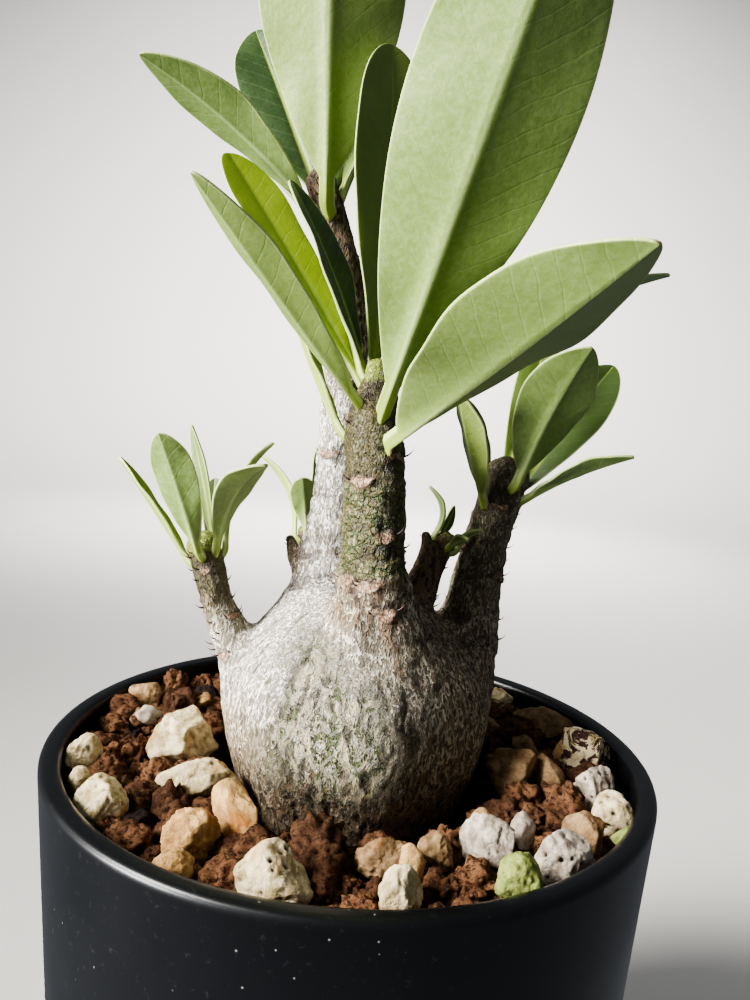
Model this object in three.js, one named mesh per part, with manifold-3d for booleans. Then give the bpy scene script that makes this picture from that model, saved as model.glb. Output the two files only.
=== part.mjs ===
// A potted desert rose (Adenium). A swollen grey caudex carries two trunks, two side stems and two young
// shoots, each ending in a rosette of leathery leaves. It grows in gritty soil dressed with pumice, in a
// plain round black plastic pot.
//
// Millimetres, +Z up. The origin is the centre of the pot's flat underside. The largest leaves lean to -Y.

import * as THREE from "three";
import { mergeVertices } from "three/addons/utils/BufferGeometryUtils.js";
import Module from "manifold-3d";

const wasm = await Module();
wasm.setup();

// ---------------------------------------------------------------- driving dimensions

const CLEARANCE = 0.35; // between pieces that only touch

const POT = {
  height: 80,
  rimRadius: 45,
  draft: THREE.MathUtils.degToRad(3.5), // the wall leans in by this much towards the base
  lipWidth: 3,
  lipDepth: 4,
  lipRounding: 1,
  wall: 2,
  floor: 3.5,
  footEdge: 1,
  recess: { inner: 14, outer: 33, depth: 1.5 }, // a shallow ring under the floor that holds the drain holes
  drains: { count: 8, radius: 2.6, onRadius: 23.5, sides: 10 },
  notches: { count: 4, width: 6 }, // let water out from under the pot
  segments: 40,
};

const SOIL = {
  level: 75, // the bed under the crumbs and stones
  crumbCount: 54,
  crumbRadius: [2.3, 3.7],
  crumbFlatness: 0.8,
  crumbRise: 0.3, // of its radius, from the bed to a crumb's middle
  crumbsFrom: 17, // nearest to the caudex's middle
  wallMargin: 2.2,
  segments: 40,
};

// Radius of the caudex at each height, from the tip of its root to its crown.
const CAUDEX = {
  profile: [
    [2.5, 44],
    [5.5, 50],
    [10.5, 59],
    [15, 67],
    [18.2, 75],
    [19.9, 81],
    [20.3, 86],
    [19.2, 91],
    [16.2, 95.5],
    [11.5, 99.5],
    [5.5, 102],
  ],
  sides: 28,
  rings: 16,
};

// Each stem runs through its points, with the radius given at each one. The scars of fallen leaves are
// listed as drops below the tip and angles in degrees, or start scarsFrom below it, scarStep apart.
const STEMS = {
  front: {
    path: [[2.5, -6, 90], [1.8, -8.4, 101], [1, -9, 109], [0.5, -8.6, 119], [-0.2, -8, 128], [-0.3, -8, 136]],
    radii: [11, 6.2, 4.5, 4.3, 4.2, 1.4],
    sides: 12,
    scars: [
      [14, -35], [17.2, -117], [20, 100], [24, -68], [26, 20],
      [30, -138], [30.6, -95], [32, 150], [34.5, -75],
    ],
  },
  trunk: {
    path: [[-4.6, 3, 90], [-4.9, 7, 101], [-5, 8, 114], [-5.2, 8.4, 128], [-6.6, 8.4, 150], [-11.6, 8, 165.5]],
    radii: [12, 6.7, 4.6, 3.8, 3, 2.3],
    sides: 12,
    scarsFrom: 6,
    scarStep: 6,
  },
  left: {
    path: [[-13, 0, 86], [-18.4, -0.6, 92.5], [-22, -1, 99.5], [-24.8, -1, 108.7]],
    radii: [6.5, 3.4, 2.4, 2.5],
    sides: 12,
    scarsFrom: 3.5,
    scarStep: 2.6,
  },
  right: {
    path: [[12.5, 3, 83], [16.6, 3.8, 92], [17.4, 4, 102], [18.8, 4, 112], [21.2, 4, 122.5]],
    radii: [8, 5.2, 4.2, 3.5, 3.4],
    sides: 12,
    scarsFrom: 5,
    scarStep: 3.6,
  },
  bud: {
    path: [[5.4, -4.5, 94], [7.2, -3, 100], [9.2, -1.2, 106], [12.2, 0.4, 111.6]],
    radii: [6.4, 3.4, 2, 1.6],
    sides: 9,
    scarsFrom: 1.8,
    scarStep: 2.4,
  },
  sprout: {
    path: [[-6, 10, 98], [-9.4, 15, 103], [-10.9, 18, 109]],
    radii: [3.4, 1.8, 1.4],
    sides: 8,
    scarsFrom: 2.5,
    scarStep: 3,
  },
  // Dry ends of two shoots that broke off; they bear no leaves and no scars.
  trunk_stub: {
    path: [[-8, 6.5, 103], [-11.6, 6.8, 106.2], [-12.6, 7, 109]],
    radii: [1.8, 1, 0.5],
    sides: 7,
  },
  bud_stub: {
    path: [[8.8, -1.6, 105], [9, -1.6, 109], [8.7, -1.6, 112.4]],
    radii: [1.4, 0.9, 0.6],
    sides: 7,
  },
};

const RINGS_PER_POINT = 2; // rings of a stem's skin from each of its points to the next

// A stem ends in a low dome: rings that rise above its tip by the first number times its radius there, with
// the second number times that radius.
const CROWN = [[0.4, 0.85], [0.7, 0.4]];

// The scar of a fallen leaf is a low lip across the stem with a dry bristle at each side.
const SCAR = {
  width: 3.1,
  height: 1.5,
  rise: 0.9,
  lowest: 0.72, // of the stem's length, from its tip
  bristleLength: 1.7,
  bristleRadius: 0.17,
  bristleLift: 18, // degrees towards the tip
  bristleSpread: 25, // degrees apart from straight out
};

// A leaf's name starts with its stem's. It grows from "drop" below the stem's tip towards "tip". Its blade is
// folded up along the midrib by "fold" degrees, arched by "bow" towards its upper face, and turned about its
// own length by "roll" degrees. A "blunt" leaf is widest further out, with a rounder tip. "rootTurn" is how
// many degrees round the stem it grows from where it points.
const LEAVES = {
  front_1: { drop: 6.5, tip: [13, -54, 174], width: 19.8, bow: -0.5, roll: -19, fold: 19, blunt: 0.2 },
  front_2: { drop: 11.5, tip: [22, -50, 144.5], width: 18.5, bow: -0.5, roll: -8, fold: 24, blunt: 0.1 },
  front_3: { drop: 2, tip: [-1.8, -4, 180.4], width: 14, bow: 1.5, roll: 15, fold: 11, blunt: 0.8 },
  front_4: { drop: 5.6, tip: [-21.8, -30, 153.4], width: 8.2, bow: -0.2, roll: 3, fold: 22 },
  front_5: { drop: 2, tip: [-25, 2.3, 166.4], width: 10.6, bow: 0.5, roll: -25, fold: 13, blunt: 0.9 },
  front_6: { drop: 0.5, tip: [-14.6, -5, 161], width: 8.8, bow: 1, roll: -15, fold: 14, blunt: 0.5 },
  front_7: { drop: 9.6, tip: [-13.9, -6, 146], width: 7, bow: -0.5, roll: 0, fold: 18 },
  front_8: { drop: 8.5, tip: [44, 7, 155], width: 12.5, bow: 3, roll: 0, fold: 14 },
  trunk_1: {
    drop: 3.6, tip: [-10.8, -14, 203], width: 22.5, bow: -1.5, roll: -38, fold: 16, blunt: 0.2, rootTurn: -30,
  },
  trunk_2: { drop: 3.2, tip: [-36.3, -5, 176.3], width: 9.6, bow: 1.8, roll: 15, fold: 14 },
  trunk_3: { drop: 2.5, tip: [-26, 24, 194.5], width: 14, bow: 2.2, roll: -12, fold: 14, blunt: 0.2 },
  trunk_4: { drop: 7, tip: [-21.5, 12, 168], width: 6, bow: 1, roll: 0, fold: 14 },
  trunk_5: { drop: 2.5, tip: [7, 27, 194], width: 12, bow: 2, roll: 0, fold: 14 },
  trunk_6: { drop: 5.5, tip: [-13.4, 38, 186], width: 10, bow: 2.5, roll: 0, fold: 14 },
  left_1: { drop: 0.7, tip: [-29.8, -9.5, 124.7], width: 7.4, bow: 0, roll: -8, fold: 14, blunt: 0.5 },
  left_2: { drop: 2, tip: [-39, 2, 120.3], width: 5.2, bow: 0.1, roll: 20, fold: 18 },
  left_3: { drop: 0.8, tip: [-28.5, 3.5, 126], width: 3.6, bow: -0.4, roll: -18, fold: 16 },
  left_4: { drop: 0.7, tip: [-14.6, -11, 121.5], width: 7, bow: 2.4, roll: -14, fold: 14, blunt: 0.2 },
  left_5: { drop: 3, tip: [-25.7, 10, 117.4], width: 4.8, bow: 0.3, roll: 0, fold: 14, blunt: 0.9 },
  left_6: { drop: 1.5, tip: [-15.9, 5.6, 124.2], width: 4.4, bow: 2, roll: -24, fold: 16 },
  sprout_1: { drop: 0.8, tip: [-20.3, 22, 121.4], width: 3.6, bow: 2, roll: 0, fold: 16 },
  sprout_2: { drop: 1, tip: [-11.8, 14, 118.4], width: 5.6, bow: 0.6, roll: 0, fold: 14, blunt: 0.7 },
  sprout_3: { drop: 0.6, tip: [-9.9, 24, 124.6], width: 4.6, bow: 0.5, roll: 0, fold: 14 },
  right_1: { drop: 0.6, tip: [28.8, -8.5, 141], width: 12.2, bow: 1.3, roll: 0, fold: 13 },
  right_2: { drop: 3.6, tip: [40.6, 19.5, 141.6], width: 11, bow: 1.5, roll: 22, fold: 14, blunt: 0.2 },
  right_3: { drop: 4.6, tip: [11.4, -7.5, 133.2], width: 7.8, bow: -0.3, roll: -12, fold: 17, blunt: 0.2 },
  right_4: { drop: 2.5, tip: [15.2, 15, 133.6], width: 5, bow: 0.6, roll: 0, fold: 14, blunt: 0.2 },
  right_5: { drop: 1.5, tip: [28.4, 16, 148.3], width: 7, bow: 1.4, roll: 0, fold: 14, blunt: 0.2 },
  right_6: { drop: 2.8, tip: [37.8, -4, 126.4], width: 7.2, bow: 0.6, roll: -5, fold: 14 },
  bud_1: { drop: 0.5, tip: [8.8, 0.5, 119.5], width: 2.4, bow: 1.6, roll: 0, fold: 16 },
  bud_2: { drop: 0.7, tip: [17.3, -1, 113.6], width: 2.6, bow: 0.7, roll: 0, fold: 14 },
  bud_3: { drop: 0.9, tip: [14.6, -5, 112.6], width: 2.4, bow: 0.6, roll: 0, fold: 14 },
  bud_4: { drop: 0.3, tip: [13.2, 4.5, 116.5], width: 2.4, bow: 0.4, roll: 0, fold: 14 },
};

const BLADE = {
  thickness: 0.65,
  petioleShare: 0.07, // of the leaf's length
  widestAt: 0.56,
  fullness: 0.7, // lower is rounder
  bluntWidestAt: 0.72, // the same two for a wholly blunt leaf
  bluntFullness: 0.45,
  keel: 0.5, // how far the midrib stands out under the blade, near its base
  wave: 0.035, // of the width
  largeFrom: 10, // blades at least this wide get the finer mesh
};

const STONE = { smallest: 0.86, roughness: 0.2, squareness: 0.12 };

// Stones of the dressing: tint, centre, half sizes, turn about Z and lean, both in degrees.
const STONES = {
  cream_wedge: { tint: "cream", at: [-25.4, -3.2, 78.6], half: [5.6, 4.6, 4.6], turn: 20, lean: 12 },
  ochre_long: { tint: "cream", at: [-20.4, -14.6, 78], half: [5.9, 3.1, 3], turn: 10, lean: -6 },
  ochre_shard: { tint: "ochre", at: [-13.6, -24.2, 78.6], half: [5.3, 2, 3], turn: -56, lean: 14 },
  tan_round: { tint: "ochre", at: [-18, -28.8, 77.8], half: [3.7, 3, 3.2], turn: 20, lean: 0 },
  tan_wedge: { tint: "ochre", at: [-18.8, -34.6, 77.3], half: [2.4, 2, 2.5], turn: 30, lean: 0 },
  pumice_pitted: { tint: "cream", at: [-7.2, -36, 77.8], half: [4.5, 3.7, 4.2], turn: 0, lean: 0 },
  green_cream: { tint: "cream", at: [-31.2, -21.8, 77.8], half: [3.2, 3.2, 3.6], turn: 15, lean: 0 },
  cream_small: { tint: "cream", at: [-36, -17, 77.8], half: [1.6, 1.6, 2.1], turn: 0, lean: 0 },
  cream_block: { tint: "cream", at: [-38.4, -9.4, 78], half: [2, 2.8, 2.7], turn: -20, lean: 0 },
  tan_back: { tint: "tan", at: [-36, 12.8, 78.4], half: [3.2, 2.7, 2.8], turn: -25, lean: 0 },
  tan_block: { tint: "tan", at: [23.8, -5.4, 78.2], half: [4.1, 3.2, 3.2], turn: -20, lean: -10 },
  tan_long: { tint: "tan", at: [33, 13.6, 78.2], half: [5.3, 3, 3.1], turn: -18, lean: 0 },
  cream_back: { tint: "cream", at: [27.4, 26.4, 78.4], half: [2.9, 2.6, 2.3], turn: 0, lean: 0 },
  tan_oval: { tint: "tan", at: [29.6, -5.2, 78], half: [2, 3.2, 3], turn: 10, lean: 0 },
  stained_block: { tint: "cream", at: [37.4, 2.2, 78.8], half: [3.9, 3.6, 3.8], turn: -18, lean: 0 },
  grey_rose: { tint: "grey", at: [35.9, -8.8, 78], half: [3.5, 2.7, 3.2], turn: 20, lean: 0 },
  cream_edge: { tint: "cream", at: [35.4, -16, 78], half: [2.8, 3.1, 3.1], turn: 20, lean: 0 },
  tan_edge: { tint: "tan", at: [30.6, -21.2, 77.8], half: [2.9, 2.6, 2.9], turn: -10, lean: 0 },
  rose_pumice: { tint: "grey", at: [26.2, -27.8, 78], half: [4.1, 2.6, 3.1], turn: 24, lean: 0 },
  green_stone: { tint: "green", at: [19.8, -32.6, 78], half: [2.7, 2.7, 3.3], turn: 0, lean: 0 },
  white_flake: { tint: "grey", at: [17.2, -25.4, 78.4], half: [3.9, 3, 3.5], turn: -30, lean: 0 },
  tan_flank: { tint: "tan", at: [11.2, -27.4, 77.8], half: [2.2, 2.4, 2.7], turn: 30, lean: 0 },
  tan_pair: { tint: "tan", at: [4.6, -30.2, 77.8], half: [3.8, 2.6, 2.6], turn: 6, lean: 0 },
  white_tooth: { tint: "cream", at: [6.4, -36.6, 78], half: [2.6, 2.2, 3], turn: -10, lean: 0 },
};

const COLOURS = {
  pot: { color: 0x1c1d20, roughness: 0.5, metalness: 0 },
  soil: { color: 0x6e3d22, roughness: 0.95, metalness: 0 },
  bark: { color: 0x9a9280, roughness: 0.85, metalness: 0 },
  leaf: { color: 0x6f8f55, roughness: 0.45, metalness: 0 },
  cream: { color: 0xd8cfab, roughness: 0.95, metalness: 0 },
  ochre: { color: 0xc9a56b, roughness: 0.95, metalness: 0 },
  tan: { color: 0xa98a66, roughness: 0.95, metalness: 0 },
  grey: { color: 0xc6beb4, roughness: 0.95, metalness: 0 },
  green: { color: 0x9aa266, roughness: 0.95, metalness: 0 },
};

// ---------------------------------------------------------------- tools

const Z_UP = new THREE.Vector3(0, 0, 1);
const vector = (xyz) => new THREE.Vector3(...xyz);
const { degToRad: radians, lerp } = THREE.MathUtils;
const GOLDEN_ANGLE = Math.PI * (3 - Math.sqrt(5));

// A repeatable random number from 0 to 1 for each call.
function seeded(seed) {
  let state = seed >>> 0;
  return () => {
    state = (state + 0x6d2b79f5) >>> 0;
    let mixed = Math.imul(state ^ (state >>> 15), state | 1);
    mixed ^= mixed + Math.imul(mixed ^ (mixed >>> 7), mixed | 61);
    return ((mixed ^ (mixed >>> 14)) >>> 0) / 4294967296;
  };
}

// The geometry with its positions only, each corner stored once.
function bareGeometry(geometry) {
  const bare = new THREE.BufferGeometry();
  bare.setAttribute("position", geometry.getAttribute("position"));
  bare.setIndex(geometry.index);
  return mergeVertices(bare, 1e-4);
}

function solidOf(geometry) {
  const merged = bareGeometry(geometry);
  return new wasm.Manifold(
    new wasm.Mesh({
      numProp: 3,
      vertProperties: merged.attributes.position.array,
      triVerts: new Uint32Array(merged.index.array),
    }),
  );
}

function geometryOf(solid) {
  const mesh = solid.getMesh();
  const geometry = new THREE.BufferGeometry();
  geometry.setAttribute("position", new THREE.BufferAttribute(mesh.vertProperties, mesh.numProp));
  geometry.setIndex(new THREE.BufferAttribute(mesh.triVerts, 1));
  geometry.computeVertexNormals();
  return geometry;
}

const joined = (solids) => solids.reduce((all, next) => all.add(next));

// A closed skin over rings of equally many points, each end closed by a fan to its ring's middle. The rings
// run anticlockwise when seen from the last ring. From side "mirrorFrom" on, the quads are split along their
// other diagonal, so the two faces of a thin blade are split alike.
function skinOver(rings, mirrorFrom = Infinity) {
  const sides = rings[0].length;
  const points = rings.flat();
  const faces = [];
  for (let ring = 0; ring + 1 < rings.length; ring++) {
    for (let side = 0; side < sides; side++) {
      const here = ring * sides + side;
      const next = ring * sides + ((side + 1) % sides);
      const above = [here + sides, next + sides];
      if (side < mirrorFrom) faces.push(here, next, above[0], next, above[1], above[0]);
      else faces.push(here, next, above[1], here, above[1], above[0]);
    }
  }
  const middle = (ring) => ring.reduce((sum, p) => sum.add(p), new THREE.Vector3()).divideScalar(sides);
  const first = points.push(middle(rings[0])) - 1;
  const last = points.push(middle(rings.at(-1))) - 1;
  const lastRing = (rings.length - 1) * sides;
  for (let side = 0; side < sides; side++) {
    const next = (side + 1) % sides;
    faces.push(first, next, side, last, lastRing + side, lastRing + next);
  }
  return new THREE.BufferGeometry().setFromPoints(points).setIndex(faces);
}

// A turned solid about +Z from a closed [radius, height] outline that starts and ends on the axis.
function turned(outline, segments) {
  const points = outline.map(([radius, height]) => new THREE.Vector2(radius, height));
  return new THREE.LatheGeometry(points, segments).rotateX(Math.PI / 2);
}

// ---------------------------------------------------------------- pot

const wallRadius = (height) => POT.rimRadius - (POT.height - height) * Math.tan(POT.draft);
const insideRadius = (height) => wallRadius(height) - POT.wall;

function potSolid() {
  const { height, lipWidth, lipDepth, lipRounding, rimRadius, footEdge, floor } = POT;
  const lip = new THREE.Path();
  lip.moveTo(rimRadius, height - lipRounding);
  lip.absarc(rimRadius - lipRounding, height - lipRounding, lipRounding, 0, Math.PI / 2);
  lip.absarc(rimRadius - lipWidth + lipRounding, height - lipRounding, lipRounding, Math.PI / 2, Math.PI);
  const rounded = lip.getPoints(2).map((p) => [p.x, p.y]);
  const outline = [
    [0, 0],
    [wallRadius(0) - footEdge, 0],
    [wallRadius(footEdge), footEdge],
    ...rounded,
    [rimRadius - lipWidth, height - lipDepth],
    [insideRadius(height - lipDepth - 1), height - lipDepth - 1],
    [insideRadius(floor), floor],
    [0, floor],
  ];
  let pot = solidOf(turned(outline, POT.segments));

  const { inner, outer, depth } = POT.recess;
  const ring = [[inner, -1], [outer, -1], [outer, depth], [inner, depth], [inner, -1]];
  pot = pot.subtract(solidOf(turned(ring, POT.segments)));
  const { drains, notches } = POT;
  for (let drain = 0; drain < drains.count; drain++) {
    const hole = new THREE.CylinderGeometry(drains.radius, drains.radius, 3 * floor, drains.sides);
    hole.rotateX(Math.PI / 2).translate(drains.onRadius, 0, 0);
    hole.rotateZ((drain * 2 * Math.PI) / drains.count);
    pot = pot.subtract(solidOf(hole));
  }
  for (let notch = 0; notch < notches.count; notch++) {
    const length = rimRadius - (inner + outer) / 2;
    const slot = new THREE.BoxGeometry(length, notches.width, 2 * depth);
    slot.translate((inner + outer) / 2 + length / 2, 0, 0);
    slot.rotateZ(((notch + 0.5) * 2 * Math.PI) / notches.count);
    pot = pot.subtract(solidOf(slot));
  }
  return pot;
}

// ---------------------------------------------------------------- plant

const caudexCurve = new THREE.SplineCurve(CAUDEX.profile.map(([r, z]) => new THREE.Vector2(r, z)));

// The caudex is a little lobed, as its ridges run from the root up to the stems.
const lobes = (angle, height) =>
  1 + 0.018 * Math.sin(3 * angle + 0.9) + 0.014 * Math.sin(7 * angle + height * 0.06);

function caudexSolid(grow = 0) {
  const rings = [];
  for (let ring = 0; ring <= CAUDEX.rings; ring++) {
    const at = caudexCurve.getPoint(ring / CAUDEX.rings);
    const points = [];
    for (let side = 0; side < CAUDEX.sides; side++) {
      const angle = (side * 2 * Math.PI) / CAUDEX.sides;
      const radius = at.x * lobes(angle, at.y) + grow;
      points.push(new THREE.Vector3(radius * Math.cos(angle), radius * Math.sin(angle), at.y));
    }
    rings.push(points);
  }
  rings[0].forEach((p) => (p.z -= grow));
  return solidOf(skinOver(rings));
}

// The middle line of a stem, its radius, its direction and two directions across it, at t from 0 to 1.
function stemAt(name, t) {
  const { path, radii } = STEMS[name];
  const curve = new THREE.CatmullRomCurve3(path.map(vector));
  const place = t * (radii.length - 1);
  const index = Math.min(Math.floor(place), radii.length - 2);
  const radius = lerp(radii[index], radii[index + 1], place - index);
  const along = curve.getTangent(t);
  const across = new THREE.Vector3(1, 0, 0).addScaledVector(along, -along.x).normalize();
  const beside = new THREE.Vector3().crossVectors(along, across);
  return { at: curve.getPoint(t), radius, along, across, beside, length: curve.getLength() };
}

const offStem = (stem, angle, distance) =>
  stem.at
    .clone()
    .addScaledVector(stem.across, distance * Math.cos(angle))
    .addScaledVector(stem.beside, distance * Math.sin(angle));

const ringRound = (stem, sides, radius) =>
  Array.from({ length: sides }, (_, side) => offStem(stem, (side * 2 * Math.PI) / sides, radius));

function stemSolid(name) {
  const { path, sides } = STEMS[name];
  const ringCount = (path.length - 1) * RINGS_PER_POINT;
  const rings = [];
  for (let ring = 0; ring <= ringCount; ring++) {
    const stem = stemAt(name, ring / ringCount);
    rings.push(ringRound(stem, sides, stem.radius));
  }
  const top = stemAt(name, 1);
  for (const [rise, share] of CROWN) {
    const crown = { ...top, at: top.at.clone().addScaledVector(top.along, top.radius * rise) };
    rings.push(ringRound(crown, sides, top.radius * share));
  }
  return solidOf(skinOver(rings));
}

// Where a stem's scars are: how far below the tip and at what angle round the stem.
function scarPlaces(name) {
  const { scars, scarsFrom, scarStep } = STEMS[name];
  if (scars) return scars.map(([drop, degrees]) => ({ drop, angle: radians(degrees) }));
  const places = [];
  for (let drop = scarsFrom; drop < stemAt(name, 1).length * SCAR.lowest; drop += scarStep)
    places.push({ drop, angle: places.length * GOLDEN_ANGLE - Math.PI / 2 });
  return places;
}

function scarSolids(name) {
  const length = stemAt(name, 1).length;
  const solids = [];
  for (const { drop, angle } of scarPlaces(name)) {
    const stem = stemAt(name, 1 - drop / length);
    const outward = offStem(stem, angle, 1).sub(stem.at);
    const sideways = new THREE.Vector3().crossVectors(stem.along, outward);
    const size = Math.min(1, stem.radius / 4);
    const frame = new THREE.Matrix4().makeBasis(sideways, stem.along, outward);

    const lip = new THREE.OctahedronGeometry(1, 0);
    lip.scale((SCAR.width / 2) * size, (SCAR.height / 2) * size, SCAR.rise * size);
    const seat = offStem(stem, angle, stem.radius * 0.97);
    solids.push(solidOf(lip.applyMatrix4(frame).translate(...seat)));

    for (const hand of [-1, 1]) {
      const bristleLength = SCAR.bristleLength * (0.7 + 0.3 * size);
      const bristle = new THREE.ConeGeometry(SCAR.bristleRadius, bristleLength, 3);
      bristle.rotateX(Math.PI / 2 + radians(SCAR.bristleLift));
      bristle.rotateY(radians(SCAR.bristleSpread * hand));
      bristle.translate((hand * SCAR.width * size) / 2.6, 0, bristleLength * 0.36);
      solids.push(solidOf(bristle.applyMatrix4(frame).translate(...seat)));
    }
  }
  return solids;
}

function plantSolid() {
  const wood = [caudexSolid(), ...Object.keys(STEMS).map(stemSolid)];
  const scars = Object.keys(STEMS).flatMap(scarSolids);
  return joined([...wood, ...scars]);
}

// ---------------------------------------------------------------- leaves

// Half the blade's width at u from 0, the stem, to 1, the tip: a narrow stalk that widens into a blunt
// reversed egg with a small point.
function halfWidth(u, width, stalk, blunt) {
  const q = Math.max(0, (u - BLADE.petioleShare) / (1 - BLADE.petioleShare));
  const widestAt = lerp(BLADE.widestAt, BLADE.bluntWidestAt, blunt);
  const fullness = lerp(BLADE.fullness, BLADE.bluntFullness, blunt);
  const exponent = Math.log(0.5) / Math.log(widestAt);
  const blade = Math.pow(Math.sin(Math.PI * Math.min(1, Math.pow(q, exponent))), fullness);
  return 0.5 * (stalk * (1 - 0.85 * q) + (width - stalk) * Math.max(0, blade));
}

function leafGeometry(leafName) {
  const { drop, tip, width, bow, roll, fold, blunt = 0, rootTurn = 0 } = LEAVES[leafName];
  const [name] = leafName.split("_");
  const large = width >= BLADE.largeFrom;
  const stem = stemAt(name, 1 - drop / stemAt(name, 1).length);
  const end = vector(tip);
  const stalk = 0.9 + width * 0.07;
  const stalkThickness = BLADE.thickness + 0.045 * width;

  const outward = end.clone().sub(stem.at);
  outward.addScaledVector(stem.along, -outward.dot(stem.along)).normalize();
  const chordGuess = end.clone().sub(stem.at).normalize();
  const steepness = Math.abs(chordGuess.dot(stem.along));
  const seat = stem.radius + CLEARANCE + 0.5 * stalkThickness * steepness;
  const rootWay = outward.clone().applyAxisAngle(stem.along, radians(rootTurn));
  const base = stem.at.clone().addScaledVector(rootWay, seat);

  const chord = end.clone().sub(base).normalize();
  const side = new THREE.Vector3().crossVectors(outward, stem.along);
  side.addScaledVector(chord, -side.dot(chord)).normalize();
  side.applyAxisAngle(chord, radians(roll));
  const upper = new THREE.Vector3().crossVectors(side, chord);

  const control = base.clone().add(end).multiplyScalar(0.5).addScaledVector(upper, 2 * bow);
  const spine = new THREE.QuadraticBezierCurve3(base, control, end);
  const columns = large ? [-1, -0.55, 0, 0.55, 1] : [-1, 0, 1];
  const ringCount = large ? 10 : 7;
  const rings = [];
  for (let ring = 0; ring <= ringCount; ring++) {
    const u = (1 - Math.cos((Math.PI * ring) / ringCount)) / 2;
    const at = spine.getPoint(u);
    const normal = new THREE.Vector3().crossVectors(side, spine.getTangent(u)).normalize();
    const half = halfWidth(u, width, stalk, blunt);
    const thickness = BLADE.thickness + (stalkThickness - BLADE.thickness) * Math.pow(1 - u, 6);
    const keel = BLADE.keel * (width / 18) * (1 - u);
    const face = (column, lift) => {
      const wave = BLADE.wave * width * column ** 2 * Math.sin(9 * u + column + width);
      const rise = half * Math.sin(radians(fold)) * Math.abs(column) ** 0.85;
      return at
        .clone()
        .addScaledVector(side, half * column * Math.cos(radians(fold)))
        .addScaledVector(normal, rise + wave * Math.sin(Math.PI * u) + lift);
    };
    rings.push([
      ...columns.map((column) => face(column, thickness / 2)),
      ...columns.toReversed().map((column) => face(column, -thickness / 2 - (column ? 0 : keel))),
    ]);
  }
  return skinOver(rings, columns.length);
}

// ---------------------------------------------------------------- stones and soil

// A weathered stone: a sphere of 80 faces pushed in and out, then squared off a little.
function stoneGeometry({ at, half, turn, lean }, seed, grow = 0) {
  const random = seeded(seed);
  const stone = bareGeometry(new THREE.IcosahedronGeometry(1, 1));
  const position = stone.getAttribute("position");
  const point = new THREE.Vector3();
  for (let index = 0; index < position.count; index++) {
    point.fromBufferAttribute(position, index);
    const square = (point.x ** 4 + point.y ** 4 + point.z ** 4) ** -STONE.squareness;
    point.multiplyScalar(square * (STONE.smallest + STONE.roughness * random()));
    point.multiply(vector(half));
    point.setLength(point.length() + grow);
    position.setXYZ(index, point.x, point.y, point.z);
  }
  return stone.rotateY(radians(lean)).rotateZ(radians(turn)).translate(...at);
}

function soilSolid(stones) {
  const foot = POT.floor + CLEARANCE;
  const outline = [
    [0, foot],
    [insideRadius(foot) - CLEARANCE, foot],
    [insideRadius(SOIL.level) - CLEARANCE, SOIL.level],
    [0, SOIL.level],
  ];
  let soil = solidOf(turned(outline, SOIL.segments));

  const random = seeded(7);
  const outermost = POT.rimRadius - POT.lipWidth - SOIL.wallMargin;
  for (let crumb = 0; crumb < SOIL.crumbCount; crumb++) {
    const share = (crumb + 0.5) / SOIL.crumbCount;
    const radius = lerp(...SOIL.crumbRadius, random());
    const distance = Math.min(
      Math.sqrt(lerp(SOIL.crumbsFrom ** 2, outermost ** 2, share)),
      outermost - radius * 0.6,
    );
    const angle = crumb * GOLDEN_ANGLE;
    const lump = new THREE.IcosahedronGeometry(radius, 0);
    lump.scale(1, 0.75 + 0.25 * random(), SOIL.crumbFlatness).rotateZ(random() * Math.PI);
    lump.rotateX(random() - 0.5);
    const height = SOIL.level + SOIL.crumbRise * radius;
    lump.translate(distance * Math.cos(angle), distance * Math.sin(angle), height);
    soil = soil.add(solidOf(lump));
  }
  soil = soil.subtract(caudexSolid(CLEARANCE));
  for (const socket of stones) soil = soil.subtract(socket);
  return soil.decompose().sort((a, b) => b.volume() - a.volume())[0];
}

// ---------------------------------------------------------------- the whole object

const part = new THREE.Group();
part.name = "potted_desert_rose";

function place(name, geometry, colour) {
  const mesh = new THREE.Mesh(geometry, new THREE.MeshStandardMaterial(colour));
  mesh.name = name;
  part.add(mesh);
}

place("pot", geometryOf(potSolid()), COLOURS.pot);

const stoneNames = Object.keys(STONES);
const sockets = stoneNames.map((name, seed) => solidOf(stoneGeometry(STONES[name], seed + 1, CLEARANCE)));
place("soil", geometryOf(soilSolid(sockets)), COLOURS.soil);
stoneNames.forEach((name, seed) =>
  place(`stone_${name}`, stoneGeometry(STONES[name], seed + 1), COLOURS[STONES[name].tint]),
);

place("plant_body", geometryOf(plantSolid()), COLOURS.bark);
for (const name of Object.keys(LEAVES)) place(`leaf_${name}`, leafGeometry(name), COLOURS.leaf);

export default part;
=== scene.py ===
# %% [markdown]
# # A potted desert rose
#
# This lesson dresses the plain solids of a small potted desert rose (an Adenium) with fine surfaces and
# finishes. The solids give every piece its place. Each cell makes one kind of piece: the plastic pot, the
# gritty bed, the stones of the dressing, the swollen body of the plant with its bark, and the leaves.
#
# We work in millimetres, because that is how a small plant is measured, and turn them into Blender's metres
# only when a mesh is made.

import math

import bpy
import numpy as np
from mathutils import Matrix


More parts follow.
